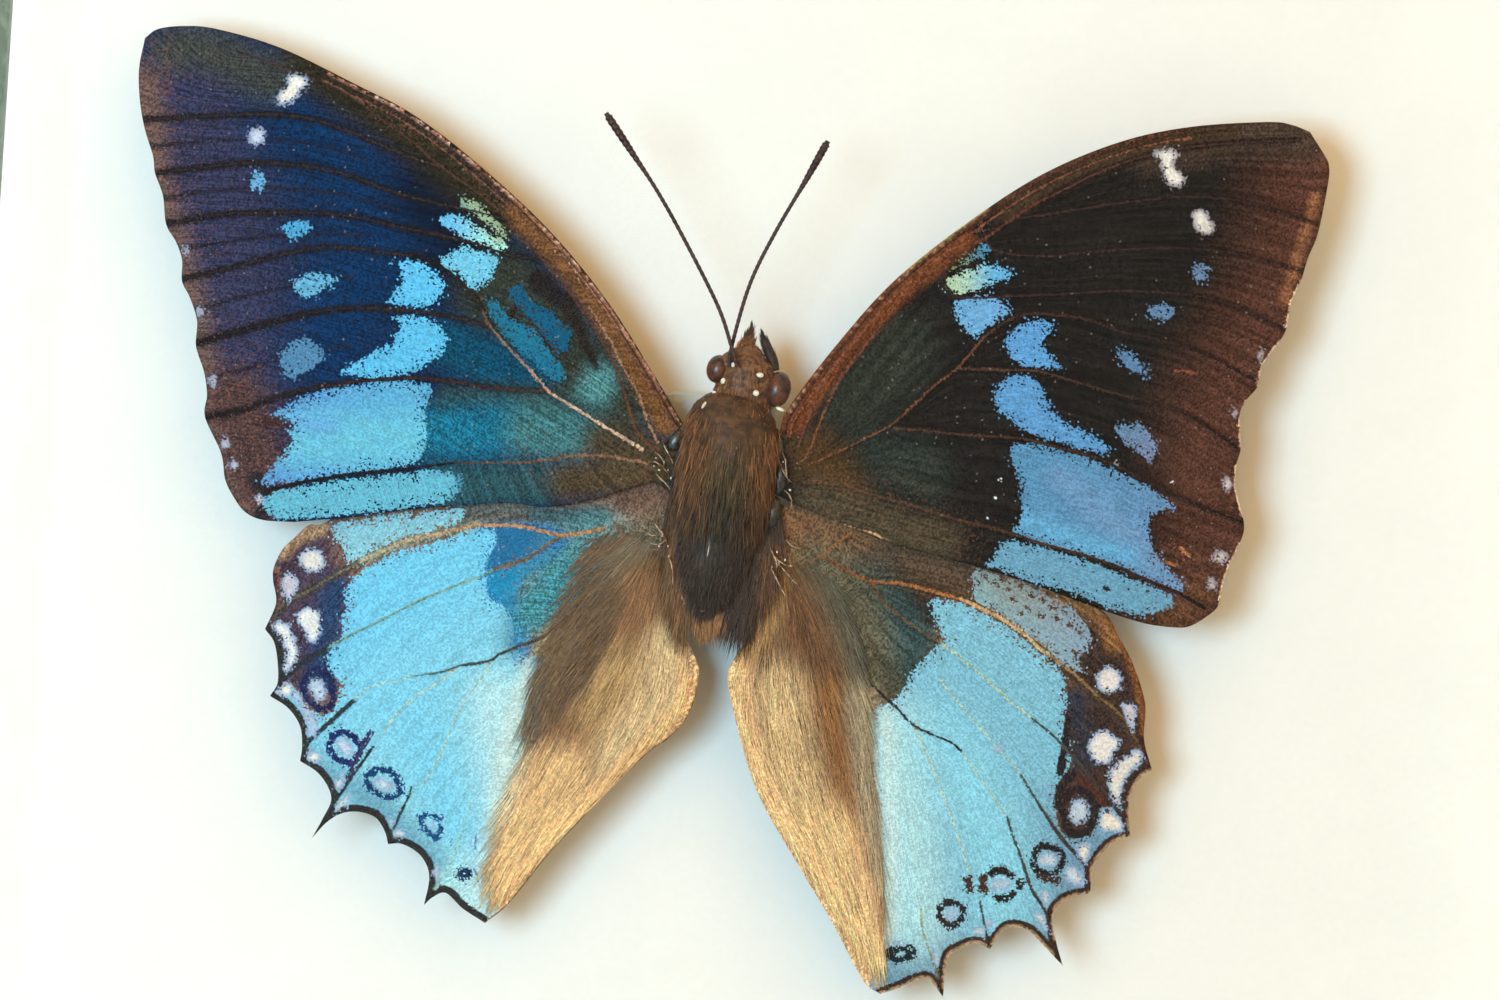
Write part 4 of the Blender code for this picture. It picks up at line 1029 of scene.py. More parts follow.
    zones = [
        ([(290, 545), (300, 600), (290, 650)], 48, 30, (74, 60, 76)),
        ([(335, 590), (325, 640), (320, 680)], 16, 12, (39, 67, 103)),
        ([(282, 552), (296, 538), (320, 527)], 8, 5, (175, 142, 107)),
        ([(275, 572), (276, 600), (270, 625)], 4, 3, (174, 116, 80)),
        ([(465, 512), (540, 515)], 12, 6, (104, 105, 97)),
        ([(540, 518), (600, 520)], 12, 8, (76, 103, 106)),
        ([(560, 570), (600, 548)], 34, 22, (88, 144, 148)),
        ([(488, 540), (489, 592), (512, 614), (520, 652)], 12, 8, (62, 150, 200)),
        ([(482, 533), (520, 531), (560, 538), (540, 560)], 8, 6, (52, 122, 170)),
        ([(360, 561), (409, 540), (442, 533), (474, 525)], 6, 5, (136, 142, 124)),
        ([(540, 610), (575, 585)], 30, 20, (72, 148, 156)),
        ([(620, 560), (655, 545)], 30, 22, (125, 117, 93)),
        ([(640, 600), (580, 660), (540, 720)], 40, 26, (122, 95, 58)),
        ([(655, 600), (610, 680), (560, 760)], 36, 20, (144, 105, 65)),
        ([(560, 640), (530, 700)], 14, 12, (229, 211, 142)),
        ([(530, 700), (512, 760), (498, 830)], 16, 14, (222, 206, 168)),
        ([(620, 680), (610, 710)], 34, 22, (184, 150, 97)),
        ([(560, 780), (520, 860), (494, 905)], 34, 20, (226, 186, 129)),
        ([(672, 650), (660, 700), (620, 760)], 28, 16, (212, 182, 133)),
        ([(690, 660), (688, 700), (650, 745), (560, 835), (500, 905)], 10, 8, (248, 197, 136)),
        # A pale oval on the fold by the body: painted highlight.
        ([(684, 648), (692, 668)], 6, 5, (205, 171, 123)),
        ([(668, 560), (676, 600)], 14, 10, (115, 80, 39)),
    ]
    tints = [
        ([(560, 540), (550, 572), (530, 606), (520, 640)], 16, 20, (77, 136, 154)),
        ([(496, 700), (484, 780), (478, 860), (480, 920)], 22, 26, (189, 231, 232)),
        ([(400, 700), (430, 760), (450, 820)], 40, 40, (129, 208, 229)),
        ([(300, 760), (370, 800), (430, 860)], 14, 14, (111, 170, 188)),
        ([(528, 668), (523, 700), (513, 740), (505, 780), (498, 830), (491, 880)], 6, 12, (196, 216, 200)),
        ([(554, 664), (547, 690), (541, 712)], 6, 10, (166, 148, 120)),
        ([(534, 736), (525, 765), (516, 800), (509, 840), (501, 900)], 6, 10, (232, 206, 158)),
    ]
    veils = [([(524, 684), (510, 724), (498, 780), (491, 850), (486, 905)], 4, 15, (204, 226, 216))]
    return dict(outline=LEFT_HINDWING, base=(650, 545), veins=veins, strokes=strokes, bands=bands,
                blots=blots, tints=tints, veils=veils,
                patches=patches, dots=dots, ground=(136, 104, 84), zones=zones, rust=rust,
                behind=HINDWING_BEHIND)


def right_hindwing():
    upper = [(825, 558), (866, 580), (896, 583), (920, 588), (960, 599), (985, 610), (1005, 621), (1024, 634),
             (1039, 648), (1049, 654), (1066, 668), (1082, 681), (1100, 698), (1119, 713), (1135, 738),
             (1147, 763)]
    second = [(867, 578), (882, 600), (901, 617), (919, 630), (940, 643), (960, 657), (985, 679), (1008, 699),
              (1030, 717), (1049, 732), (1068, 751), (1090, 776), (1112, 802), (1127, 828)]
    third = [(940, 680), (970, 716), (998, 748), (1021, 775), (1036, 800), (1051, 823), (1063, 840),
             (1086, 867), (1090, 888)]
    black = [(850, 650), (866, 676), (882, 695), (896, 707), (913, 725), (931, 734), (950, 742), (961, 751)]
    tail = [(961, 751), (985, 785), (1007, 817), (1013, 836), (1023, 863), (1032, 890), (1046, 913),
            (1060, 958)]
    fourth = [(914, 728), (930, 762), (945, 800), (958, 836), (969, 871), (980, 902), (986, 932), (989, 945)]
    fifth = [(890, 740), (902, 800), (912, 860), (921, 909), (923, 932), (938, 976), (942, 990)]
    veins = [upper, upper[:2] + second[1:], second[:5] + third, black + tail[1:], black[:5] + fourth[1:],
             fifth]
    cream = (180, 196, 170)
    dark_brown = (58, 38, 32)
    strokes = [
        vein(upper[:5], (1.6, 1.6), (110, 70, 44), (176, 112, 62)),
        vein(upper[4:10], (1.8, 2.0), (196, 152, 104), (186, 172, 132)),
        vein(upper[9:], (1.4, 1.2), (150, 120, 80), (84, 62, 48)),
        vein(second[:5], (1.4, 1.3), (96, 62, 40), (104, 92, 70)),
        vein(second[4:9], (1.1, 1.2), (170, 190, 160)),
        vein(second[8:], (1.2, 2.2), (70, 84, 76), dark_brown),
        vein(third[:4], (0.7, 0.8), cream),
        vein(third[3:], (1.2, 2.4), (70, 80, 76), dark_brown),
        vein(black, (1.2, 1.2), (40, 44, 44)),
        vein(tail[:3], (0.8, 0.8), cream),
        vein(tail[2:], (1.2, 2.2), (70, 76, 74), dark_brown),
        vein(fourth[:5], (0.7, 0.8), cream),
        vein(fourth[5:], (1.0, 1.6), (74, 80, 76), dark_brown),
        vein(fifth[3:], (1.0, 1.4), (176, 186, 140), (70, 60, 50)),
        vein([(782, 687), (780, 720), (778, 756)], (0.6, 0.5), (110, 80, 56), rise=0.0),
        vein([(1131, 583), (1144, 590), (1160, 600)], (1.6, 3.2), (70, 48, 38), rise=0.0),
        vein([(734, 668), (738, 700), (751, 744), (764, 790)], (1.6, 1.0), (236, 200, 140), rise=0.0),
        vein([(850, 744), (845, 777)], (0.8, 0.6), (120, 86, 58), rise=0.0),
        vein([(853, 531.5), (836, 544), (818, 558), (800, 566)], (1.5, 0.7), (160, 104, 62), (108, 74, 50),
             rise=0.1 * MM),
        vein([(778, 568), (788, 584), (800, 600), (808, 610)], (1.2, 0.8), (156, 116, 76), rise=0.08 * MM),
        vein([(774, 574), (780, 592), (786, 612)], (1.2, 0.8), (140, 104, 70), rise=0.08 * MM),
    ]
    blot_brown = (40, 34, 34)
    blots = [
        ring([(1064, 818), (1065, 800), (1073, 790), (1086, 792), (1094, 803), (1093, 820), (1083, 833),
              (1071, 832)], 4.4, blot_brown),
        ring([(1034, 862), (1037, 850), (1047, 846), (1058, 850), (1062, 861), (1056, 871), (1045, 873),
              (1036, 870)], 3.9, blot_brown),
        vein([(1040, 874), (1048, 879), (1058, 880)], (4.0, 3.0), (64, 42, 34)),
        vein([(992, 872), (1001, 870), (1012, 876)], (5.0, 4.0), blot_brown),
        vein([(1019, 880), (1020, 888)], (3.4, 3.0), blot_brown),
        vein([(996, 897), (1006, 898), (1014, 893)], (3.6, 3.0), blot_brown),
        vein([(983, 878), (984, 890)], (4.6, 4.4), (70, 46, 36)),
        ring([(939, 915), (943, 905), (952, 902), (961, 906), (963, 914), (958, 922), (949, 925)], 3.4,
             (42, 38, 38)),
        vein([(942, 921), (948, 924)], (4.0, 3.0), (66, 46, 36)),
        vein([(968, 879), (969, 890)], (4.6, 4.0), (66, 46, 38)),
        ring([(888, 953), (897, 948), (911, 948), (909, 956), (897, 959)], 4.0, (24, 38, 42)),
        vein([(1060, 772), (1065, 745), (1068, 716)], (4.4, 3.4), blot_brown),
        vein([(1058, 805), (1062, 785), (1072, 774)], (4.0, 4.6), blot_brown),
        vein([(1080, 780), (1094, 790), (1104, 804)], (4.0, 3.4), (84, 48, 38)),
    ]
    specks = [(984, 576), (996, 584), (1008, 590), (1019, 586), (1030, 595), (1041, 600), (1052, 607),
              (1012, 600), (1026, 606), (1040, 614), (1057, 618), (1002, 577), (1034, 587), (1047, 594),
              (1062, 611), (1068, 624), (1018, 612), (1078, 632), (1074, 652)]
    blots += [vein([(x, y), (x + 3, y + 2)], (2.0, 1.4), (84, 62, 50), rise=0.0) for x, y in specks]
    strokes += rim_strokes(RIGHT_HINDWING[1:7], -1, (58, 42, 34), (214, 176, 134))
    bands = [
        vein(upper[9:], (3.6, 4.0), (72, 56, 40)), vein(second[9:], (1.6, 4.0), dark_brown),
        vein(third[7:], (2.0, 3.6), dark_brown), vein(tail[5:], (1.6, 3.0), dark_brown),
        vein([(1140, 740), (1146, 764)], (5.0, 5.0), dark_brown),
    ]
    rust = [
        ([(1090, 630), (1110, 700), (1100, 800)], 44, 34, 0.35),
        ([(820, 600), (840, 700), (840, 800)], 50, 40, 0.35),
    ]
    patches = [
        ([(975, 570), (1002, 577), (1036, 587), (1057, 601), (1070, 607), (1080, 617), (1091, 634),
          (1090, 647), (1082, 652), (1079, 662), (1082, 672), (1065, 666), (1049, 652), (1036, 640),
          (1021, 629), (1005, 618), (985, 606), (975, 601)], (147, 152, 137), (140, 163, 176), (90, 60)),
        ([(931, 600), (960, 603), (985, 614), (1004, 625), (1023, 638), (1036, 651), (1048, 659), (1062, 672),
          (1066, 694), (1066, 713), (1068, 732), (1071, 744), (1070, 766), (1060, 785), (1056, 806),
          (1060, 830), (1074, 838), (1090, 830), (1096, 818), (1102, 806), (1114, 808), (1150, 800),
          (1190, 860), (1060, 1020),
          (940, 1030), (866, 1010), (870, 985), (873, 960), (875, 930), (876, 880), (877, 840), (874, 800),
          (869, 770), (867, 740), (872, 712), (892, 702), (904, 687), (910, 675), (920, 664), (937, 646),
          (944, 640), (937, 624), (934, 612)], (132, 190, 208), (107, 141, 160), (140, 240)),
    ]
    dots = [
        (oval((1109, 680), 13, 14), (236, 224, 214)),
        ([(1121, 706), (1128, 702), (1136, 706), (1136, 720), (1133, 732), (1126, 720)], (208, 196, 196)),
        ([(1087, 746), (1094, 734), (1104, 729), (1113, 735), (1122, 742), (1115, 752), (1109, 763),
          (1098, 764), (1090, 756)], (236, 228, 218)),
        ([(1137.6, 749), (1143, 754), (1142, 762), (1130, 774), (1123, 789), (1119.6, 808), (1111, 798),
          (1107.6, 784), (1109, 773), (1117, 762), (1128, 755)], (228, 220, 206)),
        ([(1104, 809), (1113, 812), (1122, 820), (1123, 831), (1106, 832), (1098, 824)], (240, 228, 206)),
        ([(1077, 848), (1085, 842), (1091, 848), (1085, 866), (1079, 858)], (234, 226, 200)),
        (oval((1079, 812), 10.5, 13, 12), (196, 208, 216)),
        (oval((1048, 860), 11, 8, -6), (200, 210, 216)),
        (oval((1001, 884), 12, 6.5, -6), (186, 206, 216)),
        (oval((951.5, 914), 6.5, 6), (176, 202, 214)),
        (oval((901, 944), 7, 3), (206, 208, 222)),
        ([(1064, 870), (1074, 866), (1084, 878), (1082, 886), (1068, 882)], (206, 212, 214)),
        (oval((1045.6, 897), 5, 8, -12), (232, 222, 200)),
        (oval((979, 931.5), 7.5, 5), (226, 222, 198)),
        (oval((989, 923), 3.5, 5), (214, 214, 194)),
        ([(1033, 914), (1042, 912), (1047, 924), (1049, 934), (1041, 926)], (226, 224, 200)),
        (oval((936.5, 959), 4, 8, -10), (214, 214, 188)),
        (oval((997, 748), 5, 5), (180, 206, 180)),
    ]
    zones = [
        ([(1100, 620), (1120, 700), (1110, 780), (1100, 840)], 48, 26, (62, 47, 40)),
        ([(1075, 700), (1085, 760)], 12, 10, (49, 53, 62)),
        ([(900, 560), (975, 585)], 26, 14, (91, 72, 54)),
        ([(1050, 590), (1100, 612), (1116, 640)], 12, 8, (148, 103, 61)),
        ([(1104, 606), (1126, 650), (1142, 705), (1144, 750)], 4, 3, (133, 84, 44)),
        ([(900, 600), (930, 612)], 16, 12, (56, 34, 26)),
        ([(860, 590), (890, 630), (905, 670)], 34, 26, (54, 73, 68)),
        ([(890, 612), (915, 640)], 20, 14, (60, 82, 80)),
        ([(820, 575), (850, 620), (860, 680)], 34, 24, (99, 94, 72)),
        ([(790, 600), (820, 680), (836, 780)], 28, 20, (125, 86, 49)),
        ([(828, 690), (840, 770), (858, 850)], 14, 10, (152, 104, 54)),
        ([(862, 700), (872, 790), (884, 880)], 16, 12, (171, 152, 117)),
        ([(778, 690), (790, 760), (810, 830)], 28, 20, (218, 185, 132)),
        ([(826, 830), (858, 930), (876, 980)], 28, 18, (235, 194, 137)),
        ([(736, 668), (742, 730), (772, 806), (830, 905), (872, 980)], 12, 10, (255, 206, 147)),
        ([(775, 560), (764, 620), (748, 650)], 16, 12, (178, 140, 86)),
    ]
    tints = [
        ([(905, 740), (910, 830), (915, 920)], 34, 36, (178, 223, 223)),
        ([(960, 740), (990, 830), (1000, 900)], 40, 40, (143, 211, 225)),
        ([(930, 620), (1000, 680), (1050, 740)], 50, 40, (130, 191, 208)),
        ([(868, 742), (873, 800), (876, 850), (876, 930), (878, 985)], 4, 9, (204, 184, 148)),
    ]
    veils = [([(886, 716), (889, 780), (892, 850), (890, 930)], 4, 15, (210, 232, 220))]
    return dict(outline=RIGHT_HINDWING, base=(800, 560), veins=veins, strokes=strokes, bands=bands,
                blots=blots, tints=tints, veils=veils,
                patches=patches, dots=dots, ground=(123, 88, 59), zones=zones, rust=rust,
                behind=HINDWING_BEHIND)


def build_wings():
    under = underside_look()
    # The two forewings have the same scales: the left one's look and colours hold painted sheen, the bright
    # blue that its scales throw back towards the viewer, and the right one's are painted darker, without it.
    looks = {
        "blue_wing": wing_look("blue_wing", 1.0, (150, 165, 190)),
        "dark_wing": wing_look("dark_wing", 0.8, (160, 152, 156)),
        "sky_blue_wing": wing_look("sky_blue_wing", 0.95, (156, 180, 206)),
    }
    for name, slot, design in (
        ("forewing_left", "blue_wing", left_forewing()),
        ("forewing_right", "dark_wing", right_forewing()),
        ("hindwing_left", "sky_blue_wing", left_hindwing()),
        ("hindwing_right", "sky_blue_wing", right_hindwing()),
    ):
        design.update(node=name, slot=slot, look=looks[slot], back_look=under)
        build_wing("scaled_" + name, design)


# --- Hair ---------------------------------------------------------------------------------------------


HAIR_TAPER = np.array([0.8, 1.0, 0.9, 0.6, 0.1])  # of the combed hairs, from root to tip


def strands(name, centres, radii, shades, look):
    """Tapered three-sided hairs. centres is (hairs, stations, 3), radii and shades go with it."""
    count, stations = centres.shape[:2]
    along = np.gradient(centres, axis=1)
    along /= np.maximum(np.linalg.norm(along, axis=2, keepdims=True), 1e-9)
    side = np.cross(along, (0.02, -1.0, 0.01))
    side /= np.maximum(np.linalg.norm(side, axis=2, keepdims=True), 1e-9)
    up = np.cross(side, along)
    corners = []
    for k in range(3):
        turn = math.radians(90 + 120 * k)
        corners.append(centres + radii[..., None] * (math.cos(turn) * side + math.sin(turn) * up))
    body = np.stack(corners, 2)[:, :-1].reshape(count, -1, 3)
    points = np.concatenate([body, centres[:, -1:]], 1)
    tints = np.concatenate([np.repeat(shades[:, :-1], 3, axis=1), shades[:, -1:]], 1)
    per = points.shape[1]
    pattern = [(0, 2, 1)]
    for k in range(stations - 2):
        for a in range(3):
            b = (a + 1) % 3
            pattern.append((3 * k + a, 3 * k + b, 3 * k + 3 + b, 3 * k + 3 + a))
    for a in range(3):
        pattern.append((per - 4 + a, per - 4 + (a + 1) % 3, per - 1))
    faces = [tuple(i + start for i in face) for start in range(0, count * per, per) for face in pattern]
    piece = make_piece(name, points.reshape(-1, 3), faces, [look])
    store(piece, "tint", tints.reshape(-1, 3))


def hair_look(name, specular):
    look = Look(name)
    change = look.noise(look.scaled(look.where(1 / MM), (6, 6, 6)), 1.0, 2)
    shade = look.times(look.attribute("tint", "Color"), look.ramp(change, 0.3, 0.7, 0.8, 1.22))
    look.bump(change, 0.02 * MM, 0.3)
    return look.finish(shade, look.ramp(change, 0.3, 0.7, 0.4, 0.6), specular, sheen=0.08)


def comb(spots, guides):
    """The direction of the hair at each spot, from the nearest guide lines."""
    total = np.zeros_like(spots)
    for guide in guides:
        line = smooth_line(guide, 8)
        away, share, _ = from_line(spots, line)
        at = np.minimum((share * (len(line) - 1)).astype(int), len(line) - 2)
        way = line[at + 1] - line[at]
        way /= np.linalg.norm(way, axis=1)[:, None]
        total += way / (away ** 2 + 80)[:, None]
    return total / np.linalg.norm(total, axis=1)[:, None]


def scatter(area, count):
    """Random spots inside an outline."""
    area = np.array(area, float)
    made = np.empty((0, 2))
    while len(made) < count:
        tries = rng.uniform(area.min(0), area.max(0), (count, 2))
        made = np.vstack([made, tries[inside(tries, area)]])
    return made[:count]


def comb_hair(name, area, guides, count, lengths, radius, depth, ground, zones, look, rise,
              outline=None):
    """Hairs along the guides that end inside the outline: depth(spots) is the Y of what they lie on."""
    stations = len(HAIR_TAPER)
    count = round(count * HAIR_SHARE)
    spots = scatter(area, count)
    length = rng.uniform(*lengths, count)
    swing = rng.normal(0, 0.12, count)
    clump = np.sin(spots[:, 0] / 5.1) * np.sin(spots[:, 1] / 17.0) * 0.05
    path = [spots]
    for k in range(stations - 1):
        way = comb(path[-1], guides)
        turn = swing * (1 - 0.5 * k / stations) + clump
        cosine, sine = np.cos(turn), np.sin(turn)
        way = np.stack([way[:, 0] * cosine - way[:, 1] * sine, way[:, 0] * sine + way[:, 1] * cosine], -1)
        path.append(path[-1] + way * (length / (stations - 1))[:, None])
    path = np.stack(path, 1)
    if outline is not None:
        path = path[inside(path[:, -1], outline) & inside(path[:, -2], outline)]
        count = len(path)
    share = np.linspace(0, 1, stations)
    lift = rng.uniform(0.35, 1.0, count)[:, None] * rise * (0.15 + np.sin(share * math.pi * 0.8))
    flat = path.reshape(-1, 2)
    deep = depth(flat).reshape(count, stations) - lift
    centres = place(path, deep)
    radii = radius * rng.uniform(0.7, 1.3, count)[:, None] * HAIR_TAPER
    shades = paint_zones(flat, shown(*ground), zones).reshape(count, stations, 3)
    shades = shades * 1.3 * rng.lognormal(0, 0.24, count)[:, None, None] * (0.9 + 0.25 * share)[:, None]
    strands(name, centres, radii, np.clip(shades, 0, 1), look)


# --- The body -----------------------------------------------------------------------------------------


def loft_grid(rings, depth, sides):
    """Points round an axis, and the axis. Rings are (place, half width in pixels, half depth in pixels)."""
    line = smooth_line([(*spot, width, deep) for spot, width, deep in rings], 2)
    centre = line[:, :2]
    along = np.gradient(centre, axis=0)
    along /= np.linalg.norm(along, axis=1)[:, None]
    normal = np.stack([-along[:, 1], along[:, 0]], -1)
    turns = 2 * math.pi * np.arange(sides) / sides
    width, deep = np.maximum(line[:, 2], 0.3), np.maximum(line[:, 3], 0.3)
    spots = centre[:, None] + (width[:, None] * np.cos(turns))[..., None] * normal[:, None]
    y = depth + deep[:, None] * PIXEL * np.sin(turns)
    return place(spots, y), place(centre, depth)


def tube_faces(count, sides):
    """The faces round a row of rings, and those to the closing points, numbered after the rings' points."""
    faces = []
    for i in range(count - 1):
        for k in range(sides):
            beside = (k + 1) % sides
            faces.append((i * sides + k, i * sides + beside, (i + 1) * sides + beside, (i + 1) * sides + k))
    total, end = count * sides, (count - 1) * sides
    faces += [(total, (k + 1) % sides, k) for k in range(sides)]
    faces += [(total + 1, end + k, end + (k + 1) % sides) for k in range(sides)]
    return faces


def add_loft(name, rings, depth, sides, look, replaced, relief=0.0):
    """A body along the rings, its surface uneven by about the relief."""
    points, axis = loft_grid(rings, depth, sides)
    if relief:
        out = points - axis[:, None]
        out /= np.linalg.norm(out, axis=2, keepdims=True)
        points = points + out * rng.normal(0, relief, points.shape[:2])[..., None]
    every = np.vstack([points.reshape(-1, 3), axis[0], axis[-1]])
    make_piece(name, every, tube_faces(len(points), sides), [look], replaced)


def body_hair(name, rings, depth, count, lengths, radius, tints, look, lift, shares=(0.0, 1.0)):
    """Hairs rooted on the front of a loft and combed along it, between two shares of its length. Tints are
    (share along, side from -1 to 1, colour, spread)."""
    sides = 48
    count = round(count * HAIR_SHARE)
    points, axis = loft_grid(rings, depth, sides)
    girth = np.linalg.norm(points[:, 0] - axis, axis=1)
    station = np.linspace(0, 1, len(axis))
    weights = girth * ((station >= shares[0]) & (station <= shares[1]))
    at = rng.choice(len(axis), count, p=weights / weights.sum())
    at = np.clip(at, 1, len(axis) - 2)
    turn = rng.uniform(2.9, 6.5, count)
    column = (turn / (2 * math.pi) * sides).astype(int) % sides
    root = points[at, column] + rng.normal(0, 0.05 * MM, (count, 3))
    out = root - axis[at]
    out /= np.linalg.norm(out, axis=1)[:, None]
    along = axis[at + 1] - axis[at - 1]
    along /= np.linalg.norm(along, axis=1)[:, None]
    wild = rng.normal(0, 0.13, (count, 3))
    clump = np.sin(turn * 11)[:, None] * np.sin(at / 3.0)[:, None] * 0.12
    way = along + lift * out * rng.uniform(0.5, 1.4, count)[:, None] + wild
    way += np.cross(along, out) * clump
    way /= np.linalg.norm(way, axis=1)[:, None]
    length = (rng.uniform(*lengths, count) * PIXEL)[:, None, None]
    share = np.linspace(0, 1, 4)[None, :, None]
    bend = (-0.55 * lift * out + 0.15 * along)[:, None]
    centres = root[:, None] - 0.1 * MM * out[:, None] + length * (way[:, None] * share + bend * share ** 2)
    radii = radius * rng.uniform(0.7, 1.3, count)[:, None] * np.array([0.9, 1.0, 0.7, 0.1])
    place_share = at / (len(axis) - 1)
    shades = np.zeros((count, 3))
    total = np.zeros(count)
    aside = np.cos(turn)
    for centre, side, shade, spread in tints:
        weight = np.exp(-((place_share - centre) / spread) ** 2 - ((aside - side) / 0.5) ** 2) + 1e-6
        shades += weight[:, None] * shown(*shade)
        total += weight
    streaks = rng.lognormal(0, 0.3, 400)[(turn * 26).astype(int) + 8 * (place_share * 4).astype(int)]
    shades = shades / total[:, None] * (streaks * rng.lognormal(0, 0.3, count))[:, None]
    shades = shades[:, None] * (0.8 + 0.45 * share)
    strands(name, centres, radii, np.clip(shades, 0, 1), look)


def add_lumps(name, lumps, look, replaced=()):
    """Small rounded bodies in one piece: (place, depth, half width, half depth and half height in pixels,
    lean in degrees)."""
    shape = bmesh.new()
    for spot, y, width, deep, height, lean in lumps:
        scale = Matrix.Diagonal((width * PIXEL, deep * PIXEL, height * PIXEL, 1))
        turn = Matrix.Rotation(math.radians(lean) + PICTURE_TURN, 4, "Y")
        matrix = Matrix.Translation(Vector(place(spot, y))) @ turn @ scale
        bmesh.ops.create_uvsphere(shape, u_segments=20, v_segments=12, radius=1, matrix=matrix)
    shape.verts.index_update()
    points = [vertex.co[:] for vertex in shape.verts]
    faces = [tuple(vertex.index for vertex in face.verts) for face in shape.faces]
    shape.free()
    make_piece(name, points, faces, [look], replaced)


def add_tube(name, points, radii, look, replaced):
    """A tube along positions, with a radius at each, closed by a point at each end."""
    sides = 10
    along = np.gradient(points, axis=0)
    along /= np.linalg.norm(along, axis=1)[:, None]
    side = np.cross(along, (0.0, -1.0, 0.0))
    side /= np.linalg.norm(side, axis=1)[:, None]
    up = np.cross(side, along)
    turns = 2 * math.pi * np.arange(sides) / sides
    grid = points[:, None] + radii[:, None, None] * (np.cos(turns)[:, None] * side[:, None]
                                                     + np.sin(turns)[:, None] * up[:, None])
    every = np.vstack([grid.reshape(-1, 3), points[:1], points[-1:]])
    make_piece(name, every, tube_faces(len(points), sides), [look], replaced)


def skin_look(name, dark, light, scale, roughness, specular=0.3, coat=0.0):
    """Horn and hairless skin: mottled, finely pitted."""
    look = Look(name)
    where = look.where(1 / MM)
    mottle = look.noise(where, scale, 4, 0.6)
    pits = look.noise(where, scale * 6, 2)
    shade = look.mix(look.ramp(mottle, 0.38, 0.62), shown(*dark), shown(*light))
    shade = look.times(shade, look.ramp(pits, 0.3, 0.7, 0.85, 1.15))
    look.bump(look.math("ADD", mottle, look.math("MULTIPLY", pits, 0.4)), 0.05 * MM, 0.5)
    rough = look.ramp(pits, 0.3, 0.7, roughness - 0.08, roughness + 0.08)
    return look.finish(shade, rough, specular, coat=coat)


def eye_look():
    look = Look("faceted_eye")
    where = look.where(1 / MM)
    facets = look.node("ShaderNodeTexVoronoi", {"Vector": where, "Scale": 14.0}).outputs["Distance"]
    cloud = look.noise(where, 1.3, 2)
    shade = look.mix(look.ramp(cloud, 0.4, 0.6), shown(116, 68, 50), shown(66, 50, 40))
    shade = look.times(shade, look.ramp(facets, 0, 0.6, 1.1, 0.75))
    look.bump(facets, 0.02 * MM, 0.35)
    return look.finish(shade, look.ramp(cloud, 0.3, 0.7, 0.24, 0.36), specular=0.4, coat=0.1)


def antenna_look():
    look = Look("ringed_antenna")
    where = look.where(1 / MM)
    rings = look.noise(look.scaled(where, (1, 1, 8)), 1.0, 2)
    shade = look.mix(look.ramp(rings, 0.35, 0.65), shown(40, 28, 25), shown(78, 50, 40))
    look.bump(rings, 0.02 * MM, 0.5)
    return look.finish(shade, look.ramp(rings, 0.3, 0.7, 0.35, 0.5), specular=0.3)


def antenna_tube(name, spots, start_y, end_y, look):
    """Fine segments, each swelling a little, and a slim club along the last third."""
    line = smooth_line(spots, 0.8)
    share = np.linspace(0, 1, len(line))
    club = np.clip((share - 0.7) / 0.3, 0, 1)
    radius = 0.13 * MM + 0.13 * MM * np.sin(np.minimum(club * 1.25, 1) * math.pi / 2) ** 2
    radius *= np.where(share > 0.985, 0.7, 1.0) * (1 + 0.09 * np.sin(share * 2 * math.pi * 46))
    middle = place(line, start_y + (end_y - start_y) * share)
    add_tube("ringed_" + name, middle, radius, look, [name])


# The rings of the body's lofts: (place, half width in pixels, half depth in pixels)
THORAX = [
    ((742, 394), 18, 16), ((740, 401), 30, 28), ((737, 411), 40, 37), ((734, 422), 45, 44),
    ((732, 438), 46, 49), ((728, 462), 46, 52), ((724, 492), 44, 48), ((721, 512), 38, 40),
    ((719, 532), 24, 26),
]
ABDOMEN = [
    ((722, 510), 28, 26), ((720, 524), 37, 34), ((717, 540), 40, 37), ((713, 560), 37, 35),
    ((708, 584), 27, 27), ((705, 600), 17, 17), ((703, 610), 8, 8), ((702, 614), 3, 3),
]
HEAD = [
    ((754, 345), 4, 6), ((752, 351), 13, 12), ((749, 359), 22, 17), ((747.5, 369), 27, 21),
    ((746, 381), 28, 22), ((744, 392), 29, 21), ((741, 403), 30, 20),
]
LEFT_PALP = [((746, 360), 11, 9), ((746, 352), 10.5, 9), ((747.5, 343), 7.5, 7), ((750, 334), 4, 4),
             ((752, 326), 1, 1)]
RIGHT_PALP = [((775, 371), 4.5, 7), ((773, 362), 5.2, 7), ((768.5, 351), 5, 6), ((764.5, 341), 3.5, 4),
              ((762, 333), 1, 1)]


SHOULDERS = {
    "left": [((704, 408), 4, 4), ((697, 424), 8, 7), ((692, 444), 8, 7), ((689, 466), 6, 6),
             ((689, 482), 3, 3)],
    "right": [((756, 416), 4, 4), ((762, 432), 7, 7), ((765, 452), 8, 7), ((765, 476), 5, 6),
              ((763, 490), 3, 3)],
}


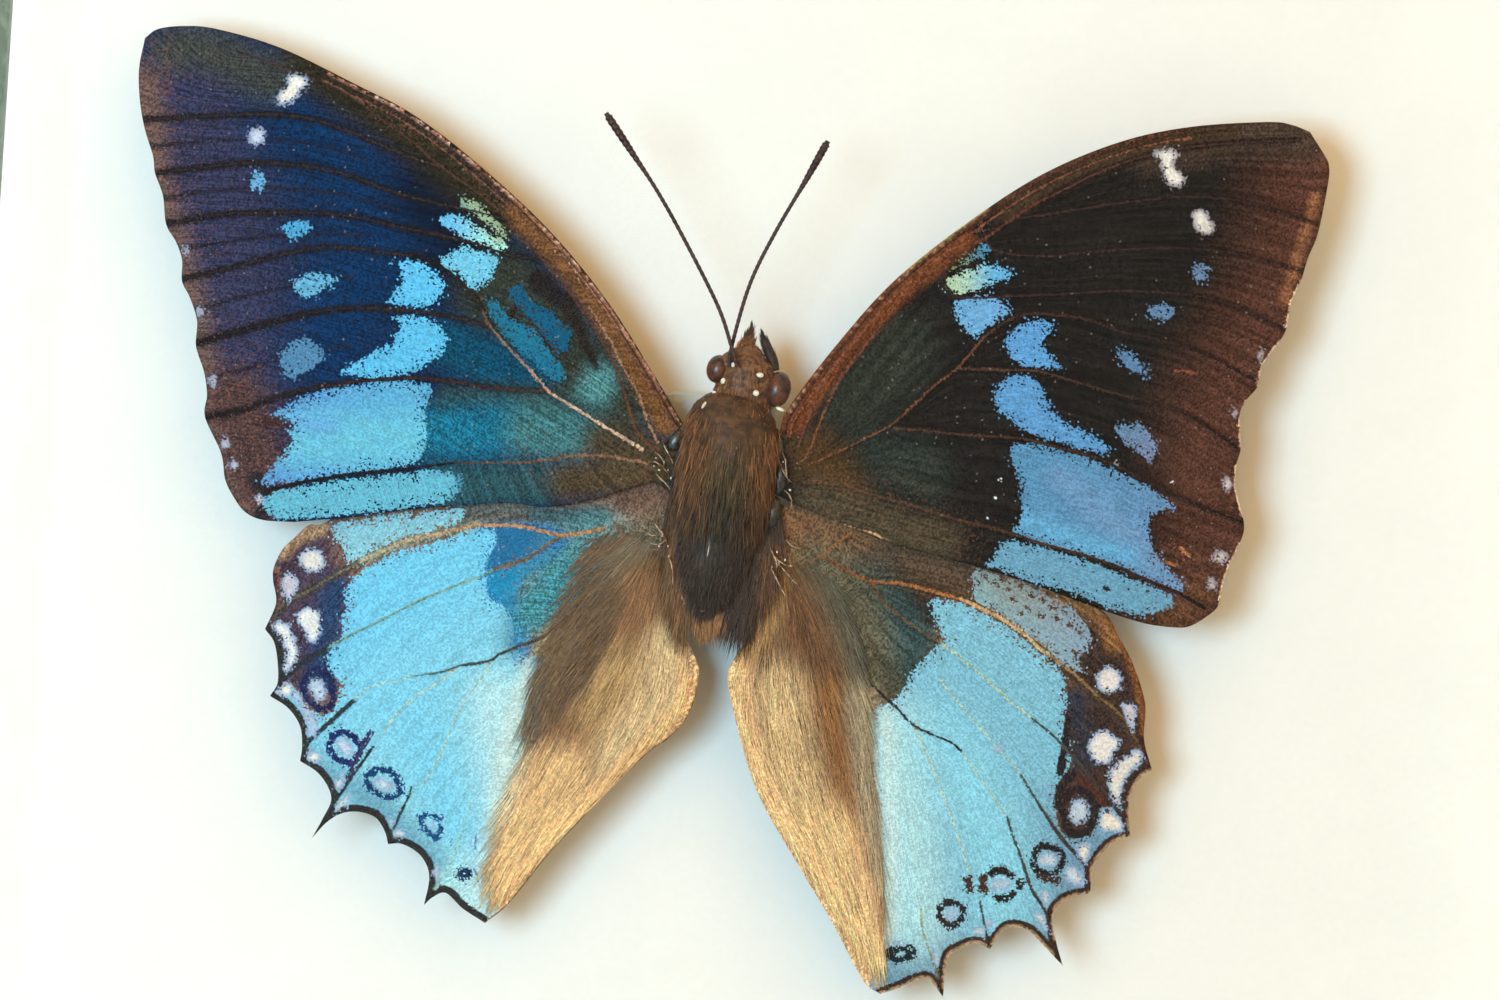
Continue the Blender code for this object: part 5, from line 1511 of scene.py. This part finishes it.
def build_body():
    """The body's solids in finer, uneven shapes, then what grows on them."""
    horn = skin_look("brown_skin", (62, 44, 30), (98, 68, 42), 1.4, 0.6)
    face = skin_look("head_skin", (72, 50, 34), (136, 92, 56), 3.4, 0.5)
    dark_horn = skin_look("abdomen_skin", (44, 38, 32), (74, 60, 46), 1.2, 0.5, specular=0.35)
    add_loft("thorax_body", THORAX, THORAX_Y, 40, horn, ["thorax"], relief=0.02 * MM)
    add_loft("abdomen_body", ABDOMEN, ABDOMEN_Y, 40, dark_horn, ["abdomen"],
             relief=0.015 * MM)
    add_loft("head_body", HEAD, HEAD_Y, 32, face, ["head"], relief=0.015 * MM)
    add_loft("palp_left_scaled", LEFT_PALP, LEFT_PALP_Y, 20,
             skin_look("palp_skin", (64, 42, 26), (112, 74, 42), 2.4, 0.55), ["palp_left"])
    add_loft("palp_right_scaled", RIGHT_PALP, RIGHT_PALP_Y, 20,
             skin_look("dark_palp_skin", (32, 30, 24), (66, 50, 34), 2.4, 0.55), ["palp_right"])
    build_body_hair()
    build_eyes(face)
    build_painted_glints()
    build_antennae()
    build_hinges()


def build_body_hair():
    hair = hair_look("combed_hair", 0.25)
    thorax_tints = [
        (0.05, 0.0, (150, 96, 54), 0.12), (0.4, 0.0, (96, 84, 50), 0.35), (0.35, -0.85, (150, 94, 48), 0.35),
        (0.35, 0.85, (148, 94, 48), 0.35), (0.9, 0.0, (66, 56, 40), 0.25), (0.9, 0.85, (96, 68, 42), 0.3),
        (0.9, -0.85, (96, 68, 42), 0.3),
    ]
    body_hair("thorax_hair", THORAX, THORAX_Y, 6200, (16, 36), 0.034 * MM, thorax_tints,
              hair, lift=0.2)
    body_hair("collar_hair", THORAX, THORAX_Y, 1300, (8, 17), 0.028 * MM,
              [(0.05, 0.0, (156, 98, 54), 0.2), (0.12, 0.8, (176, 108, 56), 0.2),
               (0.12, -0.8, (180, 110, 58), 0.2)],
              hair, lift=0.6, shares=(0.02, 0.2))
    # Stray hairs over the thorax, painted paler than the rest as its highlights.
    body_hair("thorax_wisps", THORAX, THORAX_Y, 420, (8, 24), 0.02 * MM,
              [(0.2, 0.0, (196, 142, 84), 0.3), (0.8, 0.0, (150, 118, 80), 0.3)], hair,
              lift=0.5)
    for side, rings in SHOULDERS.items():
        body_hair("shoulder_hair_" + side, rings, BODY_Y - 1.3 * MM, 600, (8, 18), 0.024 * MM,
                  [(0.2, 0.0, (152, 102, 60), 0.4), (0.9, 0.0, (124, 88, 54), 0.3)], hair,
                  lift=0.3)
    abdomen_tints = [(0.2, 0.0, (72, 62, 48), 0.3), (0.7, 0.0, (72, 56, 44), 0.3),
                     (0.5, 0.9, (86, 66, 48), 0.4), (0.5, -0.9, (86, 66, 48), 0.4)]
    body_hair("abdomen_hair", ABDOMEN, ABDOMEN_Y, 2700, (7, 15), 0.029 * MM,
              abdomen_tints, hair, lift=0.12)
    head_tints = [(0.15, -0.2, (204, 134, 78), 0.2), (0.42, 0.45, (56, 44, 34), 0.13),
                  (0.5, 0.9, (150, 98, 56), 0.15), (0.66, -0.4, (70, 58, 42), 0.1),
                  (0.5, -0.9, (150, 98, 56), 0.2), (0.9, 0.0, (156, 104, 58), 0.2)]
    body_hair("head_hair", HEAD, HEAD_Y, 2400, (5, 12), 0.024 * MM, head_tints, hair,
              lift=0.35)
    body_hair("palp_hair_left", LEFT_PALP, LEFT_PALP_Y, 420, (4, 8), 0.022 * MM,
              [(0.1, 0.0, (226, 150, 78), 0.22), (0.45, 0.0, (150, 102, 56), 0.15),
               (0.9, 0.0, (46, 38, 30), 0.3)], hair, lift=0.12)
    body_hair("palp_hair_right", RIGHT_PALP, RIGHT_PALP_Y, 420, (4, 8), 0.022 * MM,
              [(0.1, 0.0, (92, 62, 38), 0.2), (0.8, 0.0, (36, 34, 26), 0.4)], hair, lift=0.12)


def build_eyes(face):
    facets = eye_look()
    eye_y = BODY_Y - 0.05 * MM
    add_lumps("eye_left_faceted", [((718.2, 369), eye_y, 11.8, 12.5, 14.4, 8)], facets, ["eye_left"])
    add_lumps("eye_right_faceted", [((777.5, 389.5), eye_y, 13.4, 14.8, 18.3, 8)], facets,
              ["eye_right"])
    add_lumps("eye_sockets", [((729, 363), BODY_Y, 10, 12, 13, 24), ((730, 381), BODY_Y, 12, 13, 13, 0),
                              ((763, 384), BODY_Y, 11, 14, 15, -12)], face)


def build_painted_glints():
    """Small pale lumps on the head and collar and at the wings' hinges: painted glints, highlights where the
    scales catch the light.
    """
    glint_skin = skin_look("pale_glint_skin", (214, 200, 168), (250, 244, 224), 3.0, 0.35, specular=0.5)
    near = BODY_Y - 0.95 * MM
    dots = [((733, 365), near, 2.4, 1.6, 2.6, 0), ((723, 381), near, 2.4, 1.6, 3.2, 10),
            ((760, 375), near - 0.45 * MM, 3.8, 1.6, 2.5, 0),
            ((756, 393), near - 0.75 * MM, 3.2, 1.6, 3.0, 15),
            ((715, 393), near + 0.5 * MM, 3.8, 1.6, 1.8, 20),
            ((704, 405), near - 0.9 * MM, 1.6, 1.4, 4.0, 25),
            ((780, 409), near + 0.7 * MM, 4.6, 1.6, 2.0, 15)]
    add_lumps("head_glint_dots", dots, glint_skin)
    # Pale specks at the hinges: painted glints.
    hinge_glint_spots = [(664, 541), (668, 546), (659, 546), (669, 556), (662, 536), (775, 558), (779, 563), (785, 560),
              (791, 566), (772, 567), (777, 552), (786, 470), (789, 480), (783, 462), (790, 490), (664, 462),
              (668, 470), (659, 470), (654, 466), (671, 478), (656, 458)]
    add_lumps("hinge_glint_lumps", [(spot, WING_Y - 0.65 * MM, 0.5 + 0.35 * (i % 3), 0.7, 0.5 + 0.3 * (i % 4), 0)
                               for i, spot in enumerate(hinge_glint_spots)], glint_skin)


def build_antennae():
    ringed = antenna_look()
    antenna_tube("antenna_left",
                 [(737, 367), (731, 345), (717, 304), (682, 235), (656, 189), (633, 154), (606, 113)],
                 BODY_Y - 1.75 * MM, BODY_Y - 3.4 * MM, ringed)
    antenna_tube("antenna_right",
                 [(729, 367), (732, 345), (750, 284), (775, 233), (806, 180), (828, 141)],
                 BODY_Y - 1.1 * MM, BODY_Y - 2.6 * MM, ringed)


def build_hinges():
    """Dark knobs where the wings meet the body, ridges there painted pale as their glints, and painted glints
    on the abdomen.
    """
    # A pale horn colour that stands for highlights: the hinge ridges and the abdomen glints are painted
    # light.
    gloss = skin_look("horn_painted_pale_as_glints", (120, 86, 58), (210, 180, 144), 2.2, 0.24, specular=0.6, coat=0.4)
    masses = [((676, 440), 8, 7, 13, 24), ((680, 462), 7, 8, 14, 0), ((678, 486), 7, 7, 12, -8),
              ((779, 450), 7, 8, 15, -10), ((780, 478), 8, 8, 18, 0), ((773, 512), 8, 7, 16, 4)]
    hinge = skin_look("hinge_skin", (26, 32, 32), (66, 62, 52), 3.0, 0.32, specular=0.6, coat=0.2)
    add_lumps("hinge_masses", [(spot, WING_Y + 0.1 * MM, *rest) for spot, *rest in masses], hinge)
    glints = [((708.5, 550), BODY_Y - 2.0 * MM, 0.8, 1, 7, 3),
              ((682, 598), BODY_Y - 0.6 * MM, 1.2, 1, 3, -20),
              ((703, 611), BODY_Y - 0.2 * MM, 3.4, 1.4, 1.0, -6)]
    add_lumps("body_glints", glints, gloss)
    ridges = [
        [(655, 452), (660, 456), (664, 463), (663, 470)], [(648, 462), (656, 462), (664, 468), (670, 478)],
        [(662, 440), (666, 450), (672, 460), (674, 472)], [(656, 474), (662, 480), (668, 486), (672, 494)],
        [(646, 540), (655, 545), (663, 543), (668, 534)], [(640, 528), (648, 534), (657, 536), (664, 530)],
        [(652, 520), (658, 528), (664, 536), (668, 548)], [(782, 452), (786, 462), (786, 474), (790, 486)],
        [(778, 462), (784, 472), (788, 480), (796, 484)], [(784, 490), (790, 496), (792, 504), (788, 512)],
        [(774, 556), (780, 562), (788, 566), (798, 566)], [(776, 562), (786, 572), (792, 580), (802, 588)],
        [(770, 566), (776, 578), (782, 590), (790, 604)], [(786, 540), (792, 546), (800, 549), (808, 548)],
        [(770, 548), (774, 556), (777, 564), (776, 574)], [(668, 556), (672, 566), (673, 578), (672, 590)],
    ]
    taper = np.array([0.7, 1.0, 1.0, 0.8, 0.2])
    stations = len(taper)
    lines = [smooth_line(ridge, 1) for ridge in ridges]
    lines = np.stack([line[np.linspace(0, len(line) - 1, stations).astype(int)] for line in lines])
    depths = WING_Y - 0.45 * MM - 0.25 * MM * np.sin(np.linspace(0, math.pi, stations))[None]
    radii = rng.uniform(0.8, 1.5, (len(lines), 1)) * PIXEL * taper
    strands("hinge_ridges", place(lines, np.repeat(depths, len(lines), 0)), radii,
            np.ones((len(lines), stations, 3)), gloss)


def build_wing_hair():
    hair = hair_look("silky_hair", 0.2)

    def on_hindwing(spots):
        return wing_depth(spots) + HINDWING_BEHIND - MEMBRANE / 2 - 0.02 * MM

    def beside_body(spots):
        return np.full(len(spots), BODY_Y + 0.6 * MM)

    left, right = left_hindwing(), right_hindwing()
    left_edge, right_edge = [np.vstack([smooth_line(run, 6)[:-1] for run in wing["outline"]])
                             for wing in (left, right)]
    teal_guide = [(640, 555), (600, 600), (560, 650), (535, 690), (515, 740)]
    upper_guide = [(615, 545), (570, 580), (530, 620)]
    comb_hair(
        "hindwing_hair_left",
        [(626, 532), (655, 530), (668, 575), (688, 640), (694, 676), (668, 732), (600, 798), (532, 866),
         (496, 902), (499, 860), (511, 800), (528, 746), (558, 712), (594, 674), (620, 624), (636, 576)],
        [teal_guide,
         [(655, 565), (625, 640), (590, 710), (550, 790), (510, 860), (490, 900)],
         [(665, 580), (665, 650), (650, 710), (610, 780), (560, 840)],
         upper_guide],
        5300, (30, 70), 0.027 * MM, on_hindwing, left["ground"], left["zones"], hair,
        0.11 * MM, left_edge)
    comb_hair(
        "teal_hair_left",
        [(600, 530), (648, 532), (636, 600), (602, 674), (546, 726), (522, 730), (536, 676), (556, 624),
         (580, 570)],
        [teal_guide, upper_guide],
        1500, (20, 50), 0.02 * MM, on_hindwing, (128, 102, 72), [], hair,
        0.12 * MM, left_edge)
    comb_hair(
        "hindwing_hair_right",
        [(785, 556), (826, 570), (850, 620), (862, 680), (866, 740), (874, 800), (882, 870), (884, 940),
         (876, 966), (832, 905), (790, 845), (757, 785), (737, 720), (732, 680), (746, 640), (762, 590)],
        [[(800, 570), (830, 630), (855, 700), (872, 780), (880, 860), (882, 950)],
         [(780, 590), (790, 680), (810, 770), (845, 870), (872, 950)],
         [(765, 610), (748, 680), (762, 760), (805, 850)],
         [(830, 565), (870, 610), (890, 650)]],
        5300, (30, 70), 0.027 * MM, on_hindwing, right["ground"], right["zones"], hair,
        0.11 * MM, right_edge)
    comb_hair(
        "side_hair_left",
        [(672, 470), (692, 470), (690, 600), (680, 612), (668, 560)],
        [[(680, 480), (672, 560), (660, 640)], [(690, 500), (684, 580), (676, 650)]],
        1200, (30, 62), 0.03 * MM, beside_body, (92, 68, 44),
        [([(676, 560), (664, 640)], 30, 20, (132, 98, 62))], hair, 0.5 * MM)
    comb_hair(
        "side_hair_right",
        [(760, 470), (780, 500), (778, 560), (760, 590), (742, 600), (744, 560)],
        [[(768, 500), (764, 560), (748, 640)], [(776, 520), (780, 580), (776, 640)]],
        1200, (30, 62), 0.03 * MM, beside_body, (72, 56, 42),
        [([(776, 560), (776, 640)], 16, 12, (116, 80, 50))], hair, 0.5 * MM)
    comb_hair(
        "tail_membrane_hair",
        [(684, 588), (704, 606), (728, 604), (728, 622), (698, 626)],
        [[(690, 596), (694, 644)], [(706, 606), (709, 644)], [(724, 604), (720, 640)]],
        520, (14, 30), 0.03 * MM, beside_body, (150, 108, 66), [], hair, 0.3 * MM)
    comb_hair(
        "tail_tuft",
        [(728, 590), (750, 584), (758, 600), (740, 614)],
        [[(738, 596), (726, 646)], [(752, 590), (748, 640)]],
        260, (34, 58), 0.034 * MM, beside_body, (66, 50, 36), [], hair, 0.4 * MM)


# --- The stage ----------------------------------------------------------------------------------------


def add_light(name, size, power, shade, position, target):
    data = bpy.data.lights.new(name, "AREA")
    data.shape, data.size, data.energy, data.color = "DISK", size, power, shade
    light = bpy.data.objects.new(name, data)
    light.location = position
    light.rotation_euler = (Vector(target) - Vector(position)).to_track_quat("-Z", "Y").to_euler()
    bpy.context.scene.collection.objects.link(light)
    return light


def light_group(name, objects, state):
    """A collection that a light is kept to (INCLUDE) or kept from (EXCLUDE)."""
    made = bpy.data.collections.new(name)
    for item in objects:
        made.objects.link(item)
    for member in made.collection_objects:
        member.light_linking.link_state = state
    return made


def build_floor():
    size, thickness = 1.6, 0.01
    corners = [(x, y, z) for z in (-thickness, 0) for y in (-size, size) for x in (-size, size)]
    sides = [(4, 5, 7, 6), (0, 2, 3, 1), (0, 1, 5, 4), (1, 3, 7, 5), (3, 2, 6, 7), (2, 0, 4, 6)]
    mesh = bpy.data.meshes.new("floor")
    mesh.from_pydata(corners, [], sides)
    floor = bpy.data.objects.new("floor", mesh)
    bpy.context.scene.collection.objects.link(floor)
    pale = Look("pale_floor")
    grain = pale.ramp(pale.noise(pale.where(1), 60, 3), 0.3, 0.7, 0.97, 1.02)
    mesh.materials.append(pale.finish(pale.times(colour(226, 222, 214), grain), 0.8))
    return floor


def build_stage():
    """A cool key light from the left and a wide warm fill from the front for the specimen and its board,
    neutral lights for the rails, the floor and the frame's back, and a pale room round them."""
    floor = build_floor()
    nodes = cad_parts
    rails = [nodes["frame_rail_" + side] for side in SIDES]
    spacers = [nodes["spacer_" + side] for side in SIDES]
    middle = Vector((0, 0, MIDDLE_Z))
    key = add_light("key", 0.18, 2.2, (0.396, 0.68, 0.945), (-0.145, -0.37, MIDDLE_Z - 0.005),
                    (-0.2, 0, MIDDLE_Z))
    fill = add_light("fill", 2.4, 20.0, (0.92, 0.431, 0.078), (0.1, -0.9, MIDDLE_Z + 0.1), middle)
    front = add_light("front", 1.2, 12, (1.0, 0.98, 0.96), (0.35, -0.75, MIDDLE_Z + 0.2), middle)
    room = add_light("room", 2.0, 20, (1.0, 0.97, 0.93), (0.3, 0.6, 1.4), (0, 0, 0))
    no_shadows = light_group("casts no shadows", rails + spacers, "EXCLUDE")
    not_lit = light_group("not lit by the coloured lights", [nodes["glass_pane"], floor, *rails], "EXCLUDE")
    for light in (key, fill):
        light.light_linking.blocker_collection = no_shadows
        light.light_linking.receiver_collection = not_lit
    room.light_linking.receiver_collection = light_group(
        "lit by the room light", [floor, nodes["back_panel"], *rails], "INCLUDE")
    front.light_linking.receiver_collection = light_group("lit by the front light", rails, "INCLUDE")
    for light in (key, fill, front, room):
        light.visible_camera = False
    world = bpy.data.worlds.new("soft room")
    world.use_nodes = True
    sky = world.node_tree.nodes["Background"]
    sky.inputs["Color"].default_value = (0.52, 0.45, 0.36, 1)
    sky.inputs["Strength"].default_value = 0.72
    bpy.context.scene.world = world


def build_camera():
    data = bpy.data.cameras.new("camera")
    data.sensor_width = 36
    data.lens = data.sensor_width * VIEW_DISTANCE / (PICTURE_WIDTH * PIXEL)
    data.clip_start = 0.01
    camera = bpy.data.objects.new("camera", data)
    turn = PICTURE_TURN
    right = Vector((math.cos(turn), 0, math.sin(turn)))
    up = Vector((-math.sin(turn), 0, math.cos(turn)))
    matrix = Matrix((right, up, Vector((0, -1, 0)))).transposed().to_4x4()
    matrix.translation = Vector(place(PICTURE_MIDDLE, WING_Y)) + Vector((0, -VIEW_DISTANCE, 0))
    camera.matrix_world = matrix
    bpy.context.scene.collection.objects.link(camera)
    bpy.context.scene.camera = camera
    bpy.context.scene.view_settings.view_transform = "Standard"


# --- Looks of the solids that stay --------------------------------------------------------------------


def dress(name, material):
    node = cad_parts[name]
    if not node.material_slots:
        node.data.materials.append(material)
    for slot in node.material_slots:
        slot.material = material


def glass_look():
    look = Look("clear_glass")
    tree = look.tree
    tree.nodes.remove(look.shader)
    clear = look.node("ShaderNodeBsdfTransparent", {"Color": (0.985, 0.995, 0.988)})
    gloss = look.node("ShaderNodeBsdfGlossy", {"Color": (1, 1, 1), "Roughness": 0.03})
    fresnel = look.node("ShaderNodeFresnel", {"IOR": 1.15}).outputs[0]
    both = look.node("ShaderNodeMixShader", {0: fresnel, 1: clear.outputs[0], 2: gloss.outputs[0]})
    look.join(both.outputs[0], tree.nodes["Material Output"].inputs["Surface"])
    return look.material


def paper_look(name, shade, scale):
    look = Look(name)
    where = look.where(1 / MM)
    tooth = look.noise(where, scale, 4, 0.6)
    mottled = look.noise(where, 0.12, 3)
    tone = look.times(colour(*shade), look.ramp(mottled, 0.3, 0.7, 0.985, 1.01))
    tone = look.times(tone, look.ramp(tooth, 0.3, 0.7, 0.985, 1.01))
    look.bump(tooth, 0.03 * MM, 0.35)
    return look.finish(tone, look.ramp(tooth, 0.2, 0.8, 0.75, 0.95), specular=0.25)


def painted_wood_look():
    look = Look("painted_wood")
    where = look.where(1 / MM)
    grain = look.noise(look.scaled(where, (0.06, 1.2, 0.9)), 1.4, 5, 0.6)
    brush = look.noise(look.scaled(where, (0.25, 2.2, 2.2)), 1.0, 3)
    shade = look.mix(look.ramp(grain, 0.4, 0.62), colour(104, 124, 112), colour(122, 143, 130))
    shade = look.times(shade, look.ramp(brush, 0.3, 0.7, 0.93, 1.06))
    height = look.math("ADD", look.math("MULTIPLY", grain, 0.7), brush)
    look.bump(height, 0.06 * MM, 0.5)
    return look.finish(shade, look.ramp(brush, 0.2, 0.8, 0.36, 0.55), specular=0.4, coat=0.1)


def fibreboard_look():
    look = Look("fibreboard")
    where = look.where(1 / MM)
    fibres = look.noise(look.scaled(where, (3, 1, 1)), 1.6, 4, 0.7)
    flecks = look.ramp(look.noise(where, 2.4, 2), 0.62, 0.7)
    shade = look.mix(look.ramp(fibres, 0.35, 0.65), colour(140, 108, 76), colour(172, 140, 104))
    shade = look.mix(look.math("MULTIPLY", flecks, 0.6), shade, colour(96, 70, 48))
    look.bump(fibres, 0.08 * MM, 0.6)
    return look.finish(shade, look.ramp(fibres, 0.3, 0.7, 0.75, 0.92), specular=0.2)


def acrylic_look():
    look = Look("grey_acrylic")
    where = look.where(1 / MM)
    cloud = look.noise(where, 0.5, 3)
    shade = look.mix(look.ramp(cloud, 0.3, 0.7), colour(176, 184, 178), colour(190, 196, 190))
    look.shader.inputs["Subsurface Weight"].default_value = 0.3
    look.shader.inputs["Subsurface Radius"].default_value = (1, 1, 1)
    look.shader.inputs["Subsurface Scale"].default_value = 1 * MM
    look.bump(look.noise(where, 3, 3), 0.02 * MM, 0.4)
    return look.finish(shade, look.ramp(cloud, 0.3, 0.7, 0.25, 0.4))


def dress_frame():
    wood = painted_wood_look()
    for side in SIDES:
        dress("frame_rail_" + side, wood)
    dress("glass_pane", glass_look())
    dress("backing_board", paper_look("white_board", (235, 235, 227), 2.4))
    foam = paper_look("foam_board", (240, 239, 233), 5)
    for side in SIDES:
        dress("spacer_" + side, foam)
    dress("back_panel", fibreboard_look())
    dress("mounting_pad", acrylic_look())
    leg = skin_look("bristled_leg", (58, 38, 26), (112, 76, 48), 3.0, 0.5)
    for name in ("leg_mid_left", "leg_hind_left", "leg_mid_right", "leg_hind_right"):
        dress(name, leg)


build_camera()
build_stage()
dress_frame()
build_wings()
build_body()
build_wing_hair()
